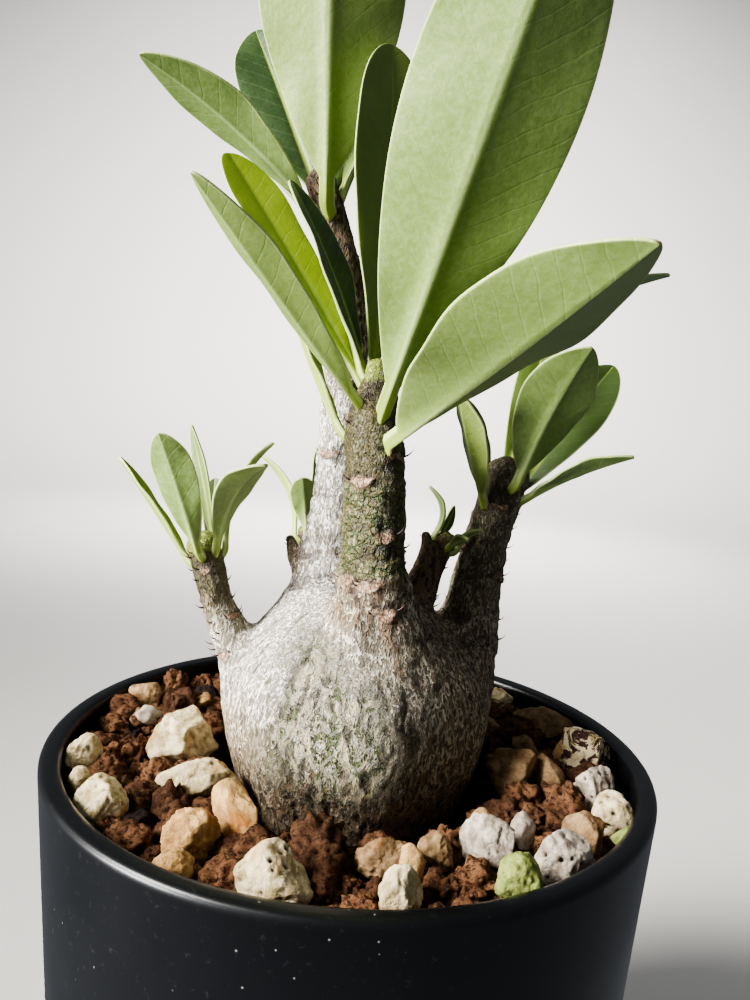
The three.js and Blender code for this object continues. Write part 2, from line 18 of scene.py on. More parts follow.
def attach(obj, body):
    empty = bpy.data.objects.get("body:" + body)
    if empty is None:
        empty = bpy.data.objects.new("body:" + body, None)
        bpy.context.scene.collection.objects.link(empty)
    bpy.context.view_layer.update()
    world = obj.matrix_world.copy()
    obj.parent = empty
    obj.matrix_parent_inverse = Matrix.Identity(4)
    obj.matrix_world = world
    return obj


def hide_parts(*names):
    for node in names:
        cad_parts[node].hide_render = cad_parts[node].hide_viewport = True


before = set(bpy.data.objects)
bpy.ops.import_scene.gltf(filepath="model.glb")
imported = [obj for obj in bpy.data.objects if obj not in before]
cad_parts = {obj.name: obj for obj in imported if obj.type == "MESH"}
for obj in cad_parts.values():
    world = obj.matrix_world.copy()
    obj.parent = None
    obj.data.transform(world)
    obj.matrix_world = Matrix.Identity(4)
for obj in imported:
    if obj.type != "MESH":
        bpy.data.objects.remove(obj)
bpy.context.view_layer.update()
MM = 0.001

# %% [markdown]
# ## From arrays to a mesh
#
# Every new surface here is a grid of points worked out with numpy. A grid has rows and columns; it may close
# on itself round the columns, like a tube. One helper turns a table of points and faces into an object and
# hides the solids it stands for. A mesh can also carry one number for each point, called an
# attribute, which a material reads later, such as how near a point is to the edge of a leaf.

# %% Helpers that make meshes


def grid_faces(rows, columns, closed=False):
    """Four-cornered faces of a grid: point (r, c) has the number r * columns + c. A closed grid also joins
    its last column to its first."""
    r, c = np.meshgrid(np.arange(rows - 1), np.arange(columns - (not closed)), indexing="ij")
    here, right = r * columns + c, r * columns + (c + 1) % columns
    return np.stack([here, right, right + columns, here + columns], -1).reshape(-1, 4)


def mesh_of(name, points, faces):
    """A mesh from points in millimetres and an array of faces that all have as many corners."""
    mesh = bpy.data.meshes.new(name)
    corners = faces.shape[1]
    mesh.vertices.add(len(points))
    mesh.vertices.foreach_set("co", (np.asarray(points, float) * MM).ravel())
    mesh.loops.add(faces.size)
    mesh.loops.foreach_set("vertex_index", faces.astype(np.int32).ravel())
    mesh.polygons.add(len(faces))
    mesh.polygons.foreach_set("loop_start", np.arange(0, faces.size, corners, dtype=np.int32))
    mesh.polygons.foreach_set("loop_total", np.full(len(faces), corners, dtype=np.int32))
    mesh.update(calc_edges=True)
    mesh.validate()
    return mesh


def points_of(mesh):
    """The mesh's points as an array, in millimetres."""
    flat = np.empty(3 * len(mesh.vertices))
    mesh.vertices.foreach_get("co", flat)
    return flat.reshape(-1, 3) / MM


def place(name, mesh, finish, slot, nodes=(), **attributes):
    """A piece of the object: it rides on the body, takes its finish and stands for its solids. Each further
    argument is an attribute with a number, or a row of three, for every point."""
    for key, values in attributes.items():
        values = np.asarray(values, float)
        kind = "FLOAT" if values.ndim == 1 else "FLOAT_VECTOR"
        field = "value" if values.ndim == 1 else "vector"
        mesh.attributes.new(key, kind, "POINT").data.foreach_set(field, values.ravel())
    mesh.shade_smooth()
    piece = bpy.data.objects.new(name, mesh)
    bpy.context.collection.objects.link(piece)
    mesh.materials.append(finish)
    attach(piece, "root")
    if nodes:
        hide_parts(*nodes)
    return piece


# %% [markdown]
# ## Randomness that is the same each time
#
# Bark, stone and soil are rough, and the roughness has to be the same on every run. A number that looks
# random is worked out from whole-number cell coordinates alone. Blending it between the corners of a cell
# gives smooth noise, adding finer and finer layers gives fractal noise, and the distance to the nearest of
# one scattered point in each cell gives pits.

# %% Noise in space


def cell_number(cell, seed):
    """A number from 0 to 1 for each row of whole numbers, mixed by multiplying and folding the bits."""
    x, y, z = (cell[..., i].astype(np.int64) for i in range(3))
    mixed = (x * 374761393 + y * 668265263 + z * 1440662683 + seed * 974634777) & 0xFFFFFFFF
    mixed = ((mixed ^ (mixed >> 13)) * 1274126177) & 0xFFFFFFFF
    mixed = ((mixed ^ (mixed >> 15)) * 2246822519) & 0xFFFFFFFF
    return ((mixed ^ (mixed >> 16)) & 0xFFFFFF) / 0xFFFFFF


CORNERS = np.array([[i, j, k] for i in (0, 1) for j in (0, 1) for k in (0, 1)])
AROUND = np.array([[i, j, k] for i in (-1, 0, 1) for j in (-1, 0, 1) for k in (-1, 0, 1)])


def noise(points, seed=0):
    """Smooth noise from -1 to 1: the eight corners of a point's cell are blended by s = t * t * (3 - 2 t)."""
    cell = np.floor(points).astype(np.int64)
    t = points - cell
    t = t * t * (3 - 2 * t)
    total = 0
    for corner in CORNERS:
        weight = np.prod(np.where(corner, t, 1 - t), axis=-1)
        total = total + weight * cell_number(cell + corner, seed)
    return 2 * total - 1


def fractal(points, layers=4, gain=0.5, seed=0):
    """Layers of noise, each twice as fine as the last and "gain" times as strong."""
    return sum(gain**n * noise(points * 2**n + 7.3 * n, seed + n) for n in range(layers))


def cells(points, seed=0):
    """Distance to the nearest of one scattered point in each cell, and that point's own random number."""
    cell = np.floor(points).astype(np.int64)
    nearest = np.full(len(points), 9.0)
    mark = np.zeros(len(points))
    for step in AROUND:
        other = cell + step
        seat = other + np.stack([cell_number(other, seed + i) for i in range(3)], -1)
        distance = np.linalg.norm(points - seat, axis=-1)
        closer = distance < nearest
        mark = np.where(closer, cell_number(other, seed + 3), mark)
        nearest = np.where(closer, distance, nearest)
    return nearest, mark


def smooth_step(low, high, value):
    """0 below low, 1 above high, and a soft S between them."""
    t = np.clip((value - low) / (high - low), 0, 1)
    return t * t * (3 - 2 * t)


# %% [markdown]
# ## A short way to write materials
#
# A material in Blender is a graph of nodes. Written out in full it is long, so this class adds a node and
# wires it in one call each. Positions come from the Object coordinates, in metres, so a scale of 1000
# makes one noise cell a millimetre.

# %% A helper that builds node materials


def colour(hex_code):
    """A colour as paint shops write it, such as "a3b18a", made linear as the renderer needs it."""
    parts = [int(hex_code[i : i + 2], 16) / 255 for i in (0, 2, 4)]
    return (*[p / 12.92 if p <= 0.04045 else ((p + 0.055) / 1.055) ** 2.4 for p in parts], 1.0)


class Finish:
    """A material that is being put together. Sockets are passed from call to call."""

    def __init__(self, name, **shader):
        self.material = bpy.data.materials.new(name)
        self.material.use_nodes = True
        self.tree = self.material.node_tree
        self.shader = self.tree.nodes["Principled BSDF"]
        for key, value in shader.items():
            self.shader.inputs[key.replace("_", " ")].default_value = value
        self.here = self.add("ShaderNodeTexCoord").outputs["Object"]

    def add(self, kind, inputs=(), **settings):
        """A node of the kind named, with its settings and inputs."""
        node = self.tree.nodes.new(kind)
        for key, value in settings.items():
            setattr(node, key, value)
        for key, value in dict(inputs).items():
            self.put(value, node.inputs[key])
        return node

    def put(self, value, socket):
        """Another node's output is linked to the socket, and a plain value is written into it."""
        if isinstance(value, bpy.types.NodeSocket):
            self.tree.links.new(value, socket)
        else:
            socket.default_value = value

    def stretched(self, x, y, z, source=None):
        """The position times x, y and z."""
        node = self.add("ShaderNodeVectorMath", {0: source or self.here, 1: (x, y, z)}, operation="MULTIPLY")
        return node.outputs[0]

    def noise(self, scale, detail=4.0, rough=0.55, bend=0.0, where=None):
        """Fractal noise from 0 to 1, with "scale" cells to the metre and its position bent by "bend"."""
        inputs = {"Vector": where or self.here, "Scale": scale, "Detail": detail}
        inputs |= {"Roughness": rough, "Distortion": bend}
        return self.add("ShaderNodeTexNoise", inputs).outputs["Fac"]

    def cells(self, scale, where=None, feature="F1"):
        """Distance to the nearest scattered point, or to the nearest border between two points' cells."""
        inputs = {"Vector": where or self.here, "Scale": scale}
        return self.add("ShaderNodeTexVoronoi", inputs, feature=feature).outputs["Distance"]

    def carried(self, name):
        """An attribute that the mesh carries."""
        return self.add("ShaderNodeAttribute", attribute_name=name).outputs["Fac"]

    def math(self, operation, a, b=0.5):
        """One sum on two values or sockets."""
        return self.add("ShaderNodeMath", {0: a, 1: b}, operation=operation).outputs[0]

    def span(self, value, low, high, to_low=0.0, to_high=1.0):
        """The value from low to high, carried to the range to_low to to_high, softly and held at its ends."""
        inputs = {"Value": value, "From Min": low, "From Max": high, "To Min": to_low, "To Max": to_high}
        return self.add("ShaderNodeMapRange", inputs, interpolation_type="SMOOTHSTEP").outputs[0]

    def mix(self, share, a, b):
        """Colour a, going over to colour b by the share."""
        node = self.add("ShaderNodeMix", data_type="RGBA")
        for value, socket in ((share, 0), (a, 6), (b, 7)):
            self.put(colour(value) if isinstance(value, str) else value, node.inputs[socket])
        return node.outputs[2]

    def paint(self, base, roughness=None):
        """The shader's colour, and its roughness where that varies."""
        self.put(base, self.shader.inputs["Base Color"])
        if roughness is not None:
            self.put(roughness, self.shader.inputs["Roughness"])

    def relief(self, *layers):
        """Bumps under the light: each layer is a height from 0 to 1 and its depth in millimetres."""
        normal = None
        for height, depth in layers:
            inputs = {"Height": height, "Distance": depth * MM, "Strength": 1.0}
            if normal:
                inputs["Normal"] = normal
            normal = self.add("ShaderNodeBump", inputs).outputs[0]
        self.put(normal, self.shader.inputs["Normal"])


# %% [markdown]
# ## The camera
#
# A camera held close looks slightly down at the rim of the pot. Its wide lens, only about 12 cm from the pot,
# is what makes the front leaves loom so large. The camera is turned a little about its own line of sight.

# %% The camera
CAMERA_AT = np.array([0, -113.3, 127.5])
YAW, PITCH, ROLL = np.radians([0.35, 5.35, 4.41])
RIM_CENTRE = [0, 0, 80]

ahead = np.array([math.sin(YAW) * math.cos(PITCH), math.cos(YAW) * math.cos(PITCH), -math.sin(PITCH)])
level = np.array([math.cos(YAW), -math.sin(YAW), 0])
upright = np.cross(level, ahead)
to_right = level * math.cos(ROLL) + upright * math.sin(ROLL)
to_top = upright * math.cos(ROLL) - level * math.sin(ROLL)

lens = bpy.data.cameras.new("close_up")
lens.sensor_width = 36
lens.lens = 27
lens.clip_start = 0.005
camera = bpy.data.objects.new("close_up", lens)
turn = Matrix(np.stack([to_right, to_top, -ahead], 1).tolist()).to_4x4()
camera.matrix_world = Matrix.Translation(CAMERA_AT * MM) @ turn
bpy.context.collection.objects.link(camera)
bpy.context.scene.camera = camera
print("camera", round(float(np.linalg.norm(CAMERA_AT - RIM_CENTRE))), "mm from the rim's centre")

# %% [markdown]
# ## The pot
#
# The pot is moulded in one piece. A turned shape is a profile swept round an axis, and the profile's small
# roundings catch the light that tells the eye it is plastic: the flush lip, the inner edge and the foot.
# The drain holes and notches are cut with a Boolean, as they are in the solid.

# %% The pot's profile and sweep
POT_HEIGHT, RIM_RADIUS, DRAFT = 80, 45, math.radians(3.5)
LIP_WIDTH, LIP_DEPTH, LIP_FOOT, WALL, FLOOR = 3, 4, 75, 2, 3.5
RECESS_INNER, RECESS_OUTER, RECESS_DEPTH = 14, 33, 1.5
DRAINS, DRAIN_RADIUS, DRAINS_AT = 8, 2.6, 23.5
NOTCHES, NOTCH_WIDTH = 4, 6


def wall_radius(z):
    """Outside radius at height z: the rim's, less the draft."""
    return RIM_RADIUS - (POT_HEIGHT - z) * math.tan(DRAFT)


def rounded(outline, steps=6):
    """An open outline of corners [r, z, rounding]. Each inner corner P becomes the curve
    (1 - t)^2 A + 2 t (1 - t) P + t^2 B between the points A and B that lie "rounding" before and after it."""
    outline = np.array(outline, float)
    corners, inner, sizes = outline[:, :2], outline[1:-1, :2], outline[1:-1, 2:]
    before, after = corners[:-2] - inner, corners[2:] - inner
    start = inner + sizes * before / np.linalg.norm(before, axis=1, keepdims=True)
    end = inner + sizes * after / np.linalg.norm(after, axis=1, keepdims=True)
    t = np.linspace(0, 1, steps)[:, None, None]
    arcs = (1 - t) ** 2 * start + 2 * t * (1 - t) * inner + t**2 * end
    return np.vstack([corners[:1], arcs.transpose(1, 0, 2).reshape(-1, 2), corners[-1:]])


def held(profile, gap=3.0, hold=0.35):
    """Long straight spans get two extra points close to their ends, so that smooth shading stays flat."""
    spans = np.diff(profile, axis=0)
    length = np.linalg.norm(spans, axis=1)
    points = []
    for start, span, n in zip(profile, spans, length):
        points.append(start)
        if n > gap:
            points += [start + span * hold / n, start + span * (1 - hold / n)]
    return np.vstack([*points, profile[-1:]])


def closed_skin(rings):
    """Points and triangles of a closed surface over rings of points, an array of rows, columns and x y z.
    Each end is closed by a fan to the middle of its last ring."""
    rows, columns = rings.shape[:2]
    points = np.vstack([rings.reshape(-1, 3), rings[0].mean(0), rings[-1].mean(0)])
    quads = grid_faces(rows, columns, closed=True)
    side = np.arange(columns)
    after, last = (side + 1) % columns, (rows - 1) * columns
    first_fan = np.stack([np.full(columns, rows * columns), after, side], -1)
    last_fan = np.stack([np.full(columns, rows * columns + 1), last + side, last + after], -1)
    return points, np.vstack([quads[:, [0, 1, 2]], quads[:, [0, 2, 3]], first_fan, last_fan])


def swept(profile, segments):
    """A profile [r, z] carried round +Z."""
    a = np.linspace(0, 2 * math.pi, segments, endpoint=False)
    r, z = profile[:, :1], profile[:, 1:]
    return closed_skin(np.stack(np.broadcast_arrays(r * np.cos(a), r * np.sin(a), z), -1))


pot_outline = [
    [1, 0, 0],
    [RECESS_INNER, 0, 0.3],
    [RECESS_INNER, RECESS_DEPTH, 0.3],
    [RECESS_OUTER, RECESS_DEPTH, 0.3],
    [RECESS_OUTER, 0, 0.3],
    [wall_radius(0), 0, 1],
    [RIM_RADIUS, POT_HEIGHT, 1.1],
    [RIM_RADIUS - LIP_WIDTH, POT_HEIGHT, 1.3],
    [RIM_RADIUS - LIP_WIDTH, POT_HEIGHT - LIP_DEPTH, 0.4],
    [wall_radius(LIP_FOOT) - WALL, LIP_FOOT, 0.3],
    [wall_radius(FLOOR) - WALL, FLOOR, 1.5],
    [1, FLOOR, 0],
]
pot_mesh = mesh_of("pot_shell", *swept(held(rounded(pot_outline)), 256))

# %% Cutting the drain holes and notches


def cut(mesh, tools):
    """The mesh less the closed tools, each given as points and faces."""
    piece = bpy.data.objects.new("uncut", mesh)
    bpy.context.collection.objects.link(piece)
    made = []
    for points, faces in tools:
        tool = bpy.data.objects.new("tool", mesh_of("tool", points, faces))
        bpy.context.collection.objects.link(tool)
        change = piece.modifiers.new("cut", "BOOLEAN")
        change.object, change.operation, change.solver = tool, "DIFFERENCE", "EXACT"
        made.append(tool)
    bpy.context.view_layer.update()
    shape = bpy.data.meshes.new_from_object(piece.evaluated_get(bpy.context.evaluated_depsgraph_get()))
    for spare in [piece, *made]:
        bpy.data.objects.remove(spare)
    return shape


def prism(corners, low, high):
    """A closed upright prism over the corners [x, y] of its foot."""
    corners = np.asarray(corners, float)
    rings = [np.column_stack([corners, np.full(len(corners), z)]) for z in (low, high)]
    return closed_skin(np.array(rings))


tools = []
for hole in range(DRAINS):
    middle = DRAINS_AT * np.array([math.cos(hole * math.tau / DRAINS), math.sin(hole * math.tau / DRAINS)])
    a = np.linspace(0, math.tau, 32, endpoint=False)
    tools.append(prism(middle + DRAIN_RADIUS * np.column_stack([np.cos(a), np.sin(a)]), -1, FLOOR + 1))
for notch in range(NOTCHES):
    a = (notch + 0.5) * math.tau / NOTCHES
    out, side = np.array([math.cos(a), math.sin(a)]), np.array([-math.sin(a), math.cos(a)]) * NOTCH_WIDTH / 2
    near, far = (RECESS_INNER + RECESS_OUTER) / 2 * out, (RIM_RADIUS + 1) * out
    tools.append(prism([near - side, far - side, far + side, near + side], -1, RECESS_DEPTH))
pot_mesh = cut(pot_mesh, tools)
print("pot points:", len(pot_mesh.vertices))

# %% [markdown]
# The plastic is nearly black, with a satin gloss and a faint blue tinge. Up close it isn't clean: there is
# fine dust, a few pale splashes where water dried, and a soft unevenness in the gloss.

# %% Black plastic
plastic = Finish("black_plastic", Roughness=0.32, IOR=1.46)
plastic.shader.inputs["Specular IOR Level"].default_value = 0.5
dust = plastic.span(plastic.noise(900, 5, 0.75), 0.58, 0.72)
blotch = plastic.noise(30, 3, 0.5)
spot = plastic.span(plastic.cells(520), 0.09, 0.03)
splash = plastic.math("MULTIPLY", spot, plastic.span(plastic.noise(55, 2, 0.5), 0.60, 0.66))
body = plastic.mix(blotch, "040506", "090a0d")
body = plastic.mix(plastic.math("MULTIPLY", dust, 0.04), body, "8d8c86")
body = plastic.mix(plastic.math("MULTIPLY", splash, 0.3), body, "cfccc2")
plastic.paint(body, plastic.span(blotch, 0.3, 0.7, 0.27, 0.37))
plastic.relief((plastic.noise(1300, 3, 0.6), 0.006))
pot = place("pot_shell", pot_mesh, plastic.material, "black_plastic", ["pot"])
pot.data.set_sharp_from_angle(angle=math.radians(40))

# %% [markdown]
# ## Stones and crumbs
#
# A stone starts as an even ball. A real gravel stone has flats where it broke, so the ball is cut by a
# handful of planes: in each direction the surface is as far out as the nearest plane lets it be, with the
# corners worn round. Noise then roughens it, and porous stones get pits. The same ball, smaller and with
# fewer faces, makes the baked-clay crumbs of the soil, which look like many grains stuck together.

# %% Balls, flats and pits


def ball(levels):
    """An even sphere of radius 1: an icosahedron whose triangles are each cut in four "levels" times."""
    g = (1 + 5**0.5) / 2
    quarter = [[0, 1, g], [0, 1, -g], [0, -1, g], [0, -1, -g]]
    points = np.array([np.roll(p, turn) for turn in range(3) for p in quarter])
    near = np.linalg.norm(points[:, None] - points, axis=-1) < 2.1
    trios = [(a, b, c) for a in range(12) for b in range(a) for c in range(b)]
    faces = np.array([(a, b, c) for a, b, c in trios if near[a, b] and near[b, c] and near[a, c]])
    a, b, c = points[faces].transpose(1, 0, 2)
    inward = np.einsum("ij,ij->i", np.cross(b - a, c - a), a) < 0
    faces[inward] = faces[inward][:, ::-1]
    for _ in range(levels):
        edges = np.sort(faces[:, [0, 1, 1, 2, 2, 0]].reshape(-1, 2), 1)
        pairs, which = np.unique(edges, axis=0, return_inverse=True)
        middle = len(points) + which.reshape(-1, 3)
        points = np.vstack([points, points[pairs].mean(1)])
        a, b, c, ab, bc, ca = *faces.T, *middle.T
        faces = np.stack([a, ab, ca, b, bc, ab, c, ca, bc, ab, bc, ca], -1).reshape(-1, 3)
    return points / np.linalg.norm(points, axis=1, keepdims=True), faces


def flats(directions, seed, broken=(), count=9, sharp=34, worn=0.88):
    """How far out a broken stone reaches: the planes n . x = d leave r = d / (n . u) in the direction u, and
    the nearest few are blended as (sum of r^-sharp)^(-1 / sharp). Some planes are drawn at random, and those
    in "broken" are given as [nx, ny, nz, d]. The last corners are worn off at the distance 1 / worn."""
    draw = np.random.default_rng(seed)
    planes = draw.normal(size=(count, 4))
    planes[:, 3] = draw.uniform(0.66, 0.95, count)
    planes = np.vstack([planes, *broken])
    planes[:, :3] /= np.linalg.norm(planes[:, :3], axis=1, keepdims=True)
    facing = np.maximum(directions @ planes[:, :3].T, 1e-3) / planes[:, 3]
    return ((facing**sharp).sum(1) + worn**sharp) ** (-1 / sharp)


def turned(points, turn, lean=0.0):
    """Points leant about +Y and then turned about +Z, in degrees."""
    a, b = math.radians(lean), math.radians(turn)
    about_y = np.array([[math.cos(a), 0, math.sin(a)], [0, 1, 0], [-math.sin(a), 0, math.cos(a)]])
    about_z = np.array([[math.cos(b), -math.sin(b), 0], [math.sin(b), math.cos(b), 0], [0, 0, 1]])
    return points @ (about_z @ about_y).T


# %% [markdown]
# Each stone of the dressing has its own place, size and character. The table keeps them together: tint,
# centre, half sizes, turn and lean, the seed of its flats, and how porous it is.

# %% The stones of the dressing
STONES = {
    "cream_wedge": ("cream", [-25.4, -3.2, 78.6], [5.6, 4.6, 4.6], 20, 12, 31, 0.0),
    "ochre_long": ("cream", [-20.4, -14.6, 78], [5.9, 3.1, 3], 10, -6, 2, 0.3),
    "ochre_shard": ("ochre", [-13.6, -24.2, 78.6], [5.3, 2, 3], -56, 14, 3, 0.0),
    "tan_round": ("ochre", [-18, -28.8, 77.8], [3.7, 3, 3.2], 20, 0, 4, 0.35),
    "tan_wedge": ("ochre", [-18.8, -34.6, 77.3], [2.4, 2, 2.5], 30, 0, 5, 0.1),
    "pumice_pitted": ("cream", [-7.2, -36, 77.8], [4.5, 3.7, 4.2], 0, 0, 6, 1.0),
    "green_cream": ("cream", [-31.2, -21.8, 77.8], [3.2, 3.2, 3.6], 15, 0, 7, 0.5),
    "cream_small": ("cream", [-36, -17, 77.8], [1.6, 1.6, 2.1], 0, 0, 8, 0.8),
    "cream_block": ("cream", [-38.4, -9.4, 78], [2, 2.8, 2.7], -20, 0, 9, 0.4),
    "tan_back": ("tan", [-36, 12.8, 78.4], [3.2, 2.7, 2.8], -25, 0, 10, 0.2),
    "tan_block": ("tan", [23.8, -5.4, 78.2], [4.1, 3.2, 3.2], -20, -10, 11, 0.1),
    "tan_long": ("tan", [33, 13.6, 78.2], [5.3, 3, 3.1], -18, 0, 12, 0.15),
    "cream_back": ("cream", [27.4, 26.4, 78.4], [2.9, 2.6, 2.3], 0, 0, 13, 0.3),
    "tan_oval": ("tan", [29.6, -5.2, 78], [2, 3.2, 3], 10, 0, 14, 0.0),
    "stained_block": ("cream", [37.4, 2.2, 78.8], [3.9, 3.6, 3.8], -18, 0, 15, 0.1),
    "grey_rose": ("grey", [35.9, -8.8, 78], [3.5, 2.7, 3.2], 20, 0, 16, 0.7),
    "cream_edge": ("cream", [35.4, -16, 78], [2.8, 3.1, 3.1], 20, 0, 17, 0.8),
    "tan_edge": ("tan", [30.6, -21.2, 77.8], [2.9, 2.6, 2.9], -10, 0, 18, 0.2),
    "rose_pumice": ("grey", [26.2, -27.8, 78], [4.1, 2.6, 3.1], 24, 0, 19, 0.9),
    "green_stone": ("green", [19.8, -32.6, 78], [2.7, 2.7, 3.3], 0, 0, 20, 0.3),
    "white_flake": ("grey", [17.2, -25.4, 78.4], [3.9, 3, 3.5], -30, 0, 21, 0.2),
    "tan_flank": ("tan", [11.2, -27.4, 77.8], [2.2, 2.4, 2.7], 30, 0, 22, 0.1),
    "tan_pair": ("tan", [4.6, -30.2, 77.8], [3.8, 2.6, 2.6], 6, 0, 23, 0.2),
    "white_tooth": ("cream", [6.4, -36.6, 78], [2.6, 2.2, 3], -10, 0, 24, 0.2),
}
# Planes along which the most striking stones broke, [nx, ny, nz, d] before the stone is turned.
BROKEN = {
    "cream_wedge": [
        [-0.35, -0.25, 0.9, 0.55],
        [0.5, -0.75, 0.35, 0.5],
        [-0.75, -0.6, 0.1, 0.62],
        [0.8, 0.1, 0.6, 0.62],
    ],
    "ochre_shard": [[0.0, -1.0, 0.15, 0.62], [0.2, 1.0, 0.1, 0.62]],
    "stained_block": [[-0.2, -1, 0.1, 0.68], [0, 0.1, 1, 0.7], [1, -0.1, 0.1, 0.75], [-1, -0.1, 0.05, 0.72]],
    "white_flake": [[-0.7, -0.7, 0.3, 0.5], [0.5, -0.6, 0.6, 0.6], [0.1, -0.3, -0.95, 0.55]],
    "white_tooth": [[-0.9, -0.2, 0.45, 0.5], [0.85, -0.3, 0.45, 0.55], [0, -1, 0.2, 0.6]],
    "tan_block": [[-0.1, -0.4, 0.9, 0.6], [0.1, -0.95, 0.1, 0.65]],
}
STONE_BALL = ball(4)
STONE_SIZE = 0.97  # of the solid's half sizes, before the stone is roughened


def stone_points(at, half, turn, lean, seed, porous, broken=()):
    """A ball cut by flats, scaled to the stone's half sizes, roughened by fractal noise and pitted where
    the nearest scattered point is close, in millimetres."""
    directions = STONE_BALL[0]
    shape = directions * flats(directions, seed, broken)[:, None]
    low, high = shape.min(0), shape.max(0)
    shape = (2 * (shape - low) / (high - low) - 1) * half * STONE_SIZE
    broad = 0.45 * fractal(shape / 3.6 + seed, 3, 0.55)
    fine = 0.16 * (1 - 2 * np.abs(fractal(shape / 1.1 + seed, 3, 0.6)))
    near, mark = cells(shape / 1.15 + seed * 3.1, seed)
    pits = porous * 0.7 * (1 - smooth_step(0.10, 0.40, near)) * (mark > 0.45)
    out = shape / np.linalg.norm(shape, axis=1, keepdims=True)
    size = min(1, min(half) / 3)
    shape = shape + out * (size * (broad + fine) - pits)[:, None]
    return turned(shape, turn, lean) + at, pits


# %% [markdown]
# Pumice is chalky and warm white, and painted shade darkens the pits of the stones. Each tint is a light and
# a shade colour with a stain, and every stone mixes them in its own way because the noise runs on through
# space.

# %% Stone finishes
TINTS = {
    "cream": ("e0d0ac", "a8956a", "b98d58", 0.50),
    "ochre": ("d0a973", "997549", "a9703a", 0.48),
    "tan": ("a68a66", "73593c", "8c5d31", 0.50),
    "grey": ("cbbfae", "8d7f70", "7a675b", 0.55),
    "green": ("9aa45c", "68713a", "cfc79c", 0.54),
}


def stone_finish(name, light, shade, stain, spread):
    """A light colour, shaded by slow noise, stained in patches, with painted shade in its pits."""
    finish = Finish(name + "_stone", Roughness=0.92)
    finish.shader.inputs["Specular IOR Level"].default_value = 0.2
    base = finish.mix(finish.span(finish.noise(520, 6, 0.65), 0.38, 0.66), light, shade)
    patch = finish.span(finish.noise(170, 3, 0.55, 0.6), spread + 0.06, spread + 0.2)
    base = finish.mix(finish.math("MULTIPLY", patch, 0.85), base, stain)
    speck = finish.span(finish.noise(2300, 4, 0.7), 0.54, 0.68)
    base = finish.mix(finish.math("MULTIPLY", speck, 0.6), base, shade)
    # Painted shade: the pits are darkened where they sink in.
    base = finish.mix(finish.span(finish.carried("pit"), 0.0, 0.5), base, "3d3226")
    stained = finish.span(finish.noise(380, 6, 0.7, 0.8), 0.49, 0.53)
    base = finish.mix(finish.math("MULTIPLY", stained, finish.carried("stained")), base, "38241f")
    finish.paint(base)
    finish.relief((finish.noise(900, 5, 0.7), 0.34), (finish.noise(3600, 4, 0.7), 0.12))
    return finish.material


stone_looks = {tint: stone_finish(tint, *colours) for tint, colours in TINTS.items()}
for name, (tint, at, half, turn, lean, seed, porous) in STONES.items():
    points, pits = stone_points(at, np.array(half), turn, lean, seed, porous, BROKEN.get(name, ()))
    mesh = mesh_of(name, points, STONE_BALL[1])
    stained = np.full(len(points), float(name == "stained_block"))
    place(name, mesh, stone_looks[tint], tint + "_stone", ["stone_" + name], pit=pits, stained=stained)
print("stones:", len(STONES), "faces each:", len(STONE_BALL[1]))

# %% [markdown]
# Between the stones lie pebbles too small to be solids of their own. They are made in the same way, but from
# a coarser ball and without pits, and they take the stones' finishes.

# %% Pebbles: tint, middle and half sizes
PEBBLES = [
    *(("tan", [-35.1, 6.4, 77.6], [2.0, 1.6, 1.6]), ("grey", [-33.4, 5.2, 78.4], [2.2, 1.8, 1.4])),
    *(("cream", [-22.6, -9.8, 77.2], [1.5, 0.9, 0.8]), ("ochre", [-26.6, 14.0, 78.0], [2.2, 1.6, 1.3])),
    *(("tan", [28.2, 4.2, 77.9], [3.2, 2.0, 1.8]), ("ochre", [33.5, 3.2, 78.2], [1.1, 1.4, 2.2])),
    *(("green", [35.6, -21.6, 77.8], [1.9, 1.5, 1.4]), ("grey", [22.6, -21.8, 77.8], [2.6, 1.5, 1.9])),
    *(("tan", [17.8, -20.2, 77.9], [2.0, 1.5, 1.5]), ("tan", [22.6, 12.4, 78.2], [3.0, 2.0, 1.9])),
    *(("ochre", [8.0, -31.0, 77.9], [2.2, 1.6, 2.2]), ("tan", [21.6, -2.2, 77.6], [1.8, 1.4, 1.8])),
]
PEBBLE_BALL = ball(3)
for number, (tint, at, half) in enumerate(PEBBLES):
    seed = 60 + number
    directions = PEBBLE_BALL[0]
    shape = directions * flats(directions, seed)[:, None] * half
    shape = shape * (1 + 0.1 * fractal(directions * 2.2 + seed, 3))[:, None]
    points = turned(shape, 37 * number, 20 * math.sin(number)) + at
    none = np.zeros(len(points))
    mesh = mesh_of("pebble", points, PEBBLE_BALL[1])
    place(f"pebble_{number:02d}", mesh, stone_looks[tint], tint + "_stone", pit=none, stained=none)
print("pebbles:", len(PEBBLES))

# %% [markdown]
# ## The soil
#
# The bed is a dark gritty surface just below the rim. On it lie the larger crumbs, each at its own place in
# front where they are easy to see. The rest are thrown in at random, large ones first, and kept only where
# they don't run into what already lies there.

# %% Crumbs: places and sizes
SOIL_LEVEL = 75.2
